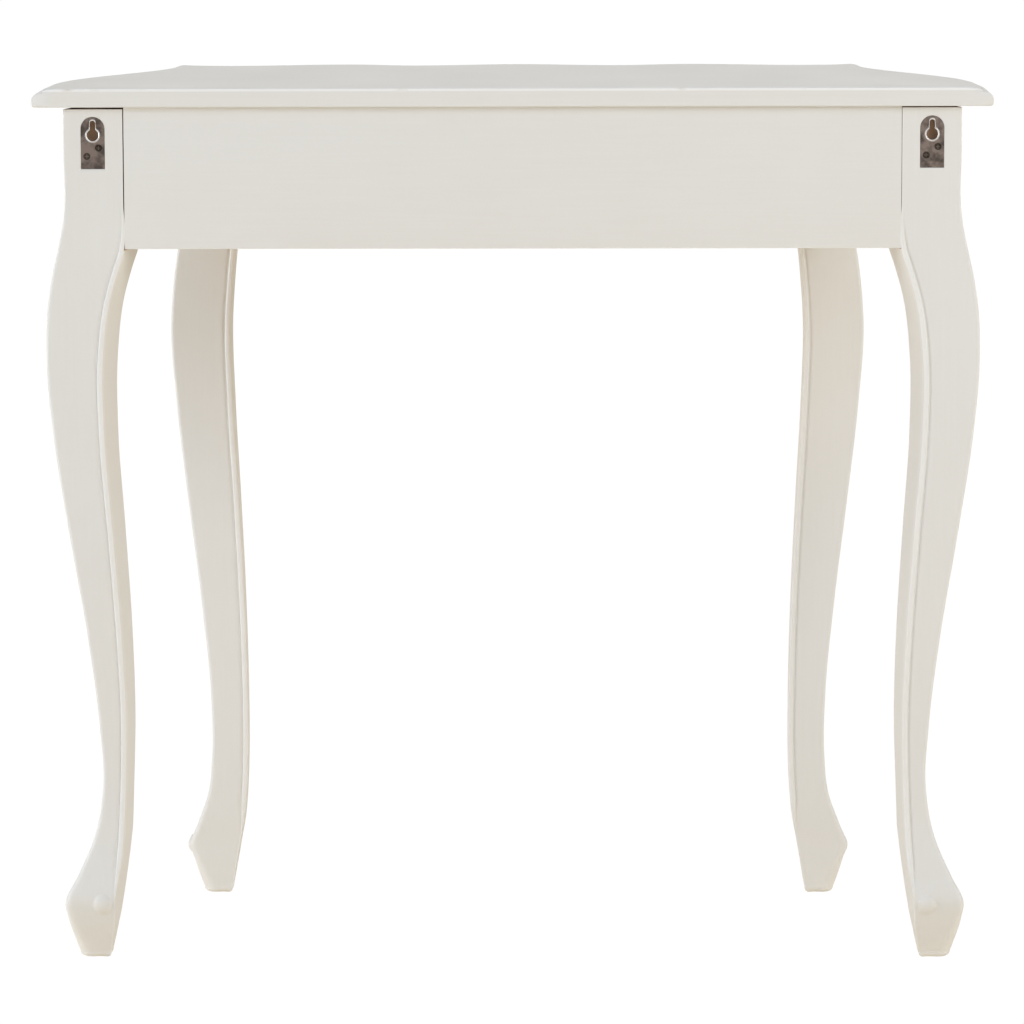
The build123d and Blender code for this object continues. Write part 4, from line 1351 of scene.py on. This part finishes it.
    def build(self) -> None:
        """Skin the plate from the keyhole's back edge over its rolled lip to the outer edge.

        Each row lies between the keyhole's outline and the plate's. The lip is a half
        wave beside the keyhole, and each screw's seat is a shallow cone.
        """
        angle = self.angles()
        key, rim = self.keyhole(angle), self.edge(angle)
        share = np.linspace(0.0, 1.0, self.ring_count)
        past = share[:, None] * (rim - key - self.rim_in)[None]
        lift = self.lip * np.sin(np.pi * np.clip(past / self.lip_wide, 0.0, 1.0))
        plan = self.ring(key[None] + past, angle[None])
        for hole_x, hole_z in self.holes:
            gap = np.hypot(plan[..., 0] - hole_x, plan[..., 1] - hole_z)
            lift = lift - self.seat_slope * np.clip(self.hole_r - gap, 0.0, self.seat_deep)
        front = np.concatenate([plan, lift[..., None]], axis=-1)
        outer = self.ring(rim, angle)
        inner = self.ring(key, angle)

        def flat(ring: Array, h: float) -> Array:
            """A ring at one height above the plate's face."""
            return np.insert(ring, 2, h, axis=1)[None]

        low = -self.thick
        rows = [flat(inner, low), front, flat(outer, -self.rim_drop), flat(outer, low)]
        rows = np.concatenate(rows)
        # painted highlight on the keyhole's rolled lip, fading out within about two millimetres
        metal_highlight_and_wear = np.zeros(rows.shape[:2])
        metal_highlight_and_wear[1 : 1 + self.ring_count] = np.clip(1.25 - past / 1.5, 0.0, 1.0)
        x, up, h = np.moveaxis(rows, -1, 0)
        solid = np.stack(
            [self.side.value * self.x + x, self.face + h, self.head_z + up], axis=-1
        )
        piece = skin(f"keyhole_plate_{self.side.label}", solid, {EDGE_HIGHLIGHT_AND_WEAR: metal_highlight_and_wear}, None)
        make_outward(piece)
        join_frame(piece, HANGER_STEEL, f"hanger_plate_{self.side.label}")


def make_outward(piece: bpy.types.Object) -> None:
    """Turn every face of a closed piece outwards.

    Args:
        piece: the piece, changed in place.
    """
    work = bmesh.new()
    work.from_mesh(piece.data)
    bmesh.ops.recalc_face_normals(work, faces=work.faces)
    work.to_mesh(piece.data)
    work.free()


@dataclass
class Carcass:
    """Aprons, rails and dividers between the legs."""

    low: float = 662.0
    underside: float = 791.0
    back: float = 203.0
    thick: float = 18.0
    half: float = 352.2
    rail_half: float = 269.5
    rail_back: float = -120.0
    rail_low: float = 652.0
    rail_high: float = 682.0
    top_rail_low: float = 773.0
    arch_half: float = 225.0
    arch_rise: float = 12.0
    divider_x: float = 97.0
    divider_half: float = 9.0
    tight: float = 0.5
    gap: float = 0.1
    ease: float = 0.9
    side_rear: tuple[float, float] = (389.0, 146.7)
    side_front: tuple[float, float] = (314.0, -119.7)
    side_handle: float = 95.0
    line: Serpentine = field(default_factory=Serpentine)

    def rear_apron(self) -> None:
        """Flat board with eased arrises and unpainted ends, painted near-black as joint shade,
        fitted closer on the left.
        """
        x, y0, y1 = self.half, self.back - self.thick, self.back
        left = -x - self.tight
        box = np.array([(left, y0), (x, y0), (x, y1), (left, y1)])
        radii = np.full((1, 4), 0.7)
        rings, plan_highlight_and_wear = rounded_ring(box[None], radii, (9, 3, 9, 3), (1.0, 1.0, 1.0, 1.0))
        rows, highlight_and_wear = slab_rows(rings[0], self.low, self.underside - self.gap, self.ease)
        # near-black painted shade on the board's ends, in the joints with the legs
        raw = ((rows[..., 0] > x - 0.25) | (rows[..., 0] < left + 0.25)).astype(float)
        piece = skin("back_board", rows, {EDGE_HIGHLIGHT_AND_WEAR: np.maximum(highlight_and_wear, plan_highlight_and_wear), BARE_AND_JOINT_SHADE: raw})
        join_frame(piece, PAINT_ACROSS, "rear_apron")

    def side_apron(self, side: Side) -> None:
        """Board bent in an S from the rear leg to the front leg.

        Args:
            side: the side of the table it closes.
        """
        rear, front, handle = self.side_rear, self.side_front, self.side_handle
        pulls = [(rear[0], rear[1] - handle), (front[0], front[1] + handle)]
        outer = bezier(np.array([rear, *pulls, front]), 90)
        inner = outer[::-1] - (self.thick, 0.0)
        outline = np.vstack([outer, inner])[::-1] * (side.value, 1.0)
        outline = outline if side is Side.RIGHT else outline[::-1]
        rows, highlight_and_wear = slab_rows(outline, self.low, self.underside - self.gap, self.ease)
        piece = skin(f"side_board_{side.label}", rows, {EDGE_HIGHLIGHT_AND_WEAR: highlight_and_wear})
        join_frame(piece, PAINT_DEEP, f"side_apron_{side.label}")

    def top_rail(self) -> None:
        """Thin bowed rail above the drawers."""
        outline = self.line.board(-self.rail_half, self.rail_half, self.rail_back)
        rows, highlight_and_wear = slab_rows(outline, self.top_rail_low, self.underside - self.gap, self.ease)
        piece = skin("rail_over_drawers", rows, {EDGE_HIGHLIGHT_AND_WEAR: highlight_and_wear})
        join_frame(piece, PAINT_ACROSS, "front_rail_top")

    def bottom_rail(self) -> None:
        """Bowed rail below the drawers; its lower rows are lifted by the arch's arc."""
        outline = self.line.board(-self.rail_half, self.rail_half, self.rail_back)
        rows, highlight_and_wear = slab_rows(outline, self.rail_low, self.rail_high, self.ease)
        bow = np.clip(1 - (rows[..., 0] / self.arch_half) ** 2, 0.0, 1.0)
        share = (self.rail_high - rows[..., 2]) / (self.rail_high - self.rail_low)
        rows[..., 2] += self.arch_rise * bow * share
        piece = skin("rail_under_drawers", rows, {EDGE_HIGHLIGHT_AND_WEAR: highlight_and_wear})
        join_frame(piece, PAINT_ACROSS, "front_rail_bottom")

    def divider(self, side: Side) -> None:
        """Upright between two drawers, its face on the bowed line.

        Args:
            side: the side of the middle drawer it stands on.
        """
        middle = side.value * self.divider_x
        half = self.divider_half
        outline = self.line.board(middle - half, middle + half, self.rail_back)
        rows, highlight_and_wear = slab_rows(outline, self.rail_high, self.top_rail_low, 0.3)
        piece = skin(f"divider_{side.label}", rows, {EDGE_HIGHLIGHT_AND_WEAR: highlight_and_wear})
        join_frame(piece, PAINT_DOWN, f"drawer_divider_{side.label}")

    def build(self) -> None:
        """Make every board of the carcass."""
        self.rear_apron()
        self.top_rail()
        self.bottom_rail()
        for side in Side:
            self.side_apron(side)
            self.divider(side)


@dataclass
class Drawer:
    """One drawer: a bowed painted front, a turned knob, and a bare wooden box."""

    bay: str
    x0: float
    x1: float
    knob_x: float
    seat: float
    reveal: float = 1.5
    inner: float = -150.0
    low: float = 683.5
    high: float = 771.5
    ease: float = 1.4
    knob_profile: tuple[tuple[float, float], ...] = (
        (0.0, 8.8),
        (1.0, 9.0),
        (2.0, 8.6),
        (3.4, 7.0),
        (5.0, 5.9),
        (7.0, 5.5),
        (9.5, 7.2),
        (12.0, 11.0),
        (14.0, 13.4),
        (15.5, 14.0),
        (17.5, 13.2),
        (20.0, 10.6),
        (22.4, 6.2),
        (23.6, 2.4),
    )
    knob_widest: float = 15.5
    knob_sides: int = 48
    line: Serpentine = field(default_factory=Serpentine)

    @property
    def body(self) -> str:
        """The moving body that the drawer's pieces ride on."""
        return f"drawer_{self.bay}"

    def front(self) -> None:
        """Bowed front with eased arrises."""
        outline = self.line.board(self.x0 + self.reveal, self.x1 - self.reveal, self.inner)
        rows, highlight_and_wear = slab_rows(outline, self.low, self.high, self.ease)
        piece = skin(f"drawer_face_{self.bay}", rows, {EDGE_HIGHLIGHT_AND_WEAR: highlight_and_wear})
        join_frame(piece, PAINT_ACROSS, f"drawer_front_{self.bay}", body=self.body)

    def knob(self) -> None:
        """Turned knob: radius by distance from its seat, carried round its axis."""
        along, radius = np.array(self.knob_profile).T
        at = np.linspace(0.0, along[-1], 44)
        n = self.knob_sides
        turn = np.linspace(0.0, 2 * np.pi, n, endpoint=False)
        r = smooth_curve(at, along, radius)[:, None]
        level = np.repeat(at[:, None], n, axis=1)
        rows = np.stack([r * np.cos(turn), r * np.sin(turn), level], axis=-1)
        lightened = np.exp(-(((at - self.knob_widest) / 3.0) ** 2))
        highlight_and_wear = np.repeat(lightened[:, None], n, axis=1)
        middle = (self.low + self.high) / 2
        solid = turned(rows, (self.knob_x, self.seat, middle))
        piece = skin(f"pull_{self.bay}", solid, {EDGE_HIGHLIGHT_AND_WEAR: highlight_and_wear}, (Cap.FLAT, Cap.TIP))
        join_frame(piece, AGED_BRASS, f"knob_{self.bay}", body=self.body)

    def build(self) -> None:
        """Make the front and the knob, and dress the nodes of the box."""
        self.front()
        self.knob()
        for hand in Side:
            dress_node(f"drawer_side_{self.bay}_{hand.label}", PINE_DEEP)
        dress_node(f"drawer_back_{self.bay}", PINE_ACROSS)
        dress_node(f"drawer_bottom_{self.bay}", PLYWOOD)
        dress_node(f"knob_screw_{self.bay}", ZINC)


def dress_node(name: str, finish: Finish) -> None:
    """Give a node whose shape is kept its finish."""
    finish.dress(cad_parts[name])
    log.info("%s: kept, %s", name, finish.name)


@dataclass
class HiddenParts:
    """Bearers, blocks, dowels and fixings inside the frame, kept as they are."""

    def build(self) -> None:
        """Dress each kept node of the frame."""
        for side in Side:
            for row in ("inner", "outer"):
                dress_node(f"runner_{row}_{side.label}", PINE_DEEP)
                dress_node(f"kicker_{row}_{side.label}", PINE_DEEP)
            dress_node(f"corner_block_{side.label}", PINE_ACROSS)
        dress_node("frame_dowels", BEECH)
        dress_node("plate_screws", SCREW_STEEL)
        for name in ("top_screws", "hanger_bolts", "bolt_washers", "bolt_nuts"):
            dress_node(name, ZINC)


# ---- studio ---------------------------------------------------------------------------
@dataclass(frozen=True)
class Lamp:
    """Square soft light: where it hangs, its side, its power and its colour."""

    name: str
    place: tuple[float, float, float]
    size: float
    power: float
    colour: tuple[float, float, float] = (1.0, 1.0, 1.0)
    aim: tuple[float, float, float] = (0.0, 0.0, 0.45)

    def hang(self) -> None:
        """Add the light to the scene, facing its aim."""
        data = bpy.data.lights.new(self.name, "AREA")
        data.size, data.energy, data.color = self.size, self.power, self.colour
        lamp = bpy.data.objects.new(self.name, data)
        bpy.context.scene.collection.objects.link(lamp)
        way = Vector(self.aim) - Vector(self.place)
        turn = way.to_track_quat("-Z", "Y").to_matrix().to_4x4()
        lamp.matrix_world = Matrix.Translation(self.place) @ turn


LAMPS = (
    Lamp("left_high", (3.0, 3.6, 2.8), 2.5, 16.7, (0.126, 0.451, 1.000)),
    Lamp("right_high", (-3.0, 3.6, 2.8), 2.5, 94.9, (0.846, 0.911, 1.000)),
    Lamp("low_behind", (0.0, 6.8, 1.2), 3.0, 12.1, (1.000, 0.766, 0.645)),
    Lamp("overhead", (0.0, 0.6, 4.0), 3.0, 4.9, (1.000, 0.996, 0.991)),
    Lamp("front", (0.0, -4.0, 2.2), 2.6, 27.6, (1.000, 0.970, 0.927)),
    Lamp("left_low", (4.5, 1.0, 0.8), 2.0, 107.5, (0.913, 0.947, 1.000)),
    Lamp("right_low", (-4.5, 1.0, 0.8), 2.0, 16.9, (1.000, 0.880, 0.597)),
)
SURROUND_LIGHT = (0.438, 0.430, 0.418, 1.0)
FLOOR_GLOW = (0.214, 0.142, 0.028, 1.0)


@dataclass
class Studio:
    """Pale floor, soft lights, even surround and the camera."""

    lens: float = 197.4
    sensor: float = 36.0
    place: tuple[float, float, float] = (-0.0688, 5.284, 1.1021)
    yaw: float = 0.786
    pitch: float = 7.635
    roll: float = -0.154
    floor_half: float = 40.0

    def camera(self) -> None:
        """Camera behind the table; its axes come from yaw, pitch down and roll."""
        yaw, pitch, roll = np.radians([self.yaw, self.pitch, self.roll])
        level = np.cos(pitch)
        ahead = Vector((np.sin(yaw) * level, -np.cos(yaw) * level, -np.sin(pitch)))
        right = ahead.cross(Vector((0, 0, 1))).normalized()
        up = right.cross(ahead)
        rolled_right = right * np.cos(roll) + up * np.sin(roll)
        rolled_up = up * np.cos(roll) - right * np.sin(roll)
        data = bpy.data.cameras.new("camera")
        data.lens, data.sensor_width = self.lens, self.sensor
        data.clip_start, data.clip_end = 0.1, 200.0
        camera = bpy.data.objects.new("camera", data)
        bpy.context.scene.collection.objects.link(camera)
        turn = Matrix((rolled_right, rolled_up, -ahead)).transposed().to_4x4()
        camera.matrix_world = Matrix.Translation(self.place) @ turn
        bpy.context.scene.camera = camera

    def floor(self) -> None:
        """Large pale floor that lights the table from below and looks evenly white."""
        half = self.floor_half
        mesh = bpy.data.meshes.new("floor")
        signs = ((-1, -1), (1, -1), (1, 1), (-1, 1))
        corners = [(half * x, half * y, 0.0) for x, y in signs]
        mesh.from_pydata(corners, [], [(0, 1, 2, 3)])
        floor = bpy.data.objects.new("floor", mesh)
        bpy.context.scene.collection.objects.link(floor)
        material = bpy.data.materials.new("pale_floor")
        material.use_nodes = True
        material.node_tree.nodes.clear()
        graph = Graph(material.node_tree)
        lit = graph.add(
            "BsdfPrincipled",
            {
                "Base Color": (0.80, 0.79, 0.77, 1.0),
                "Roughness": 0.9,
                "Specular IOR Level": 0.0,
                "Emission Color": FLOOR_GLOW,
                "Emission Strength": 1.0,
            },
        )
        white = graph.add("Emission", {"Color": (1.0, 1.0, 1.0, 1.0), "Strength": 1.02})
        seen = graph.add("LightPath", {}).outputs["Is Camera Ray"]
        shaders = {1: lit.outputs["BSDF"], 2: white.outputs["Emission"]}
        both = graph.add("MixShader", {0: seen, **shaders})
        graph.add("OutputMaterial", {"Surface": both.outputs["Shader"]})
        mesh.materials.append(material)

    def surround(self) -> None:
        """Even white surround that lights the table more dimly than it looks."""
        world = bpy.data.worlds.new("surround")
        bpy.context.scene.world = world
        world.use_nodes = True
        world.node_tree.nodes.clear()
        graph = Graph(world.node_tree)
        seen = graph.add("LightPath", {}).outputs["Is Camera Ray"]
        colour = graph.mix(seen, SURROUND_LIGHT, (1.02, 1.02, 1.02, 1.0))
        glow = graph.add("Background", {"Color": colour, "Strength": 1.0})
        graph.add("OutputWorld", {"Surface": glow.outputs["Background"]})

    def build(self) -> None:
        """Set up the floor, surround, lights and camera."""
        bpy.context.scene.view_settings.view_transform = "Standard"
        self.floor()
        self.surround()
        for lamp in LAMPS:
            lamp.hang()
        self.camera()


REAR_CANT, REAR_BEAD_IN = 13.0, 3.4
FRONT_CANT, FRONT_BEAD_IN = 0.0, 0.6
POST_GAP = {Side.RIGHT: 1.0, Side.LEFT: 0.5}
NUB_HIGH = {Side.RIGHT: 2.6, Side.LEFT: 0.8}
REAR_BUMP = Swelling(1, (380.3, 53.8), (8.4, 9.6), 3.0)


def main() -> None:
    """Build and dress the table and set up the studio."""
    logging.basicConfig(level=logging.INFO, format="%(message)s")
    TableTop().build()
    for side in Side:
        rear = CabrioleLeg(
            side, "rear", REAR_STATIONS, REAR_CANT, REAR_BEAD_IN, REAR_BUMP, POST_GAP[side]
        )
        leg = rear.build()
        plate = HangerPlate(side)
        plate.let_in(leg)
        join_frame(leg, PAINT_DOWN, f"leg_rear_{side.label}")
        plate.build()
        nub = Swelling(0, (-134.0, 48.5), (8.5, 9.5), NUB_HIGH[side])
        front = CabrioleLeg(side, "front", FRONT_STATIONS, FRONT_CANT, FRONT_BEAD_IN, nub)
        join_frame(front.build(), PAINT_DOWN, f"leg_front_{side.label}")
    Carcass().build()
    Drawer("centre", -88.0, 88.0, 0.0, -185.5).build()
    Drawer("right", 106.0, 270.0, 188.0, -181.5).build()
    Drawer("left", -270.0, -106.0, -188.0, -181.5).build()
    HiddenParts().build()
    Studio().build()
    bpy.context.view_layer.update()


if __name__ == "__main__":
    main()
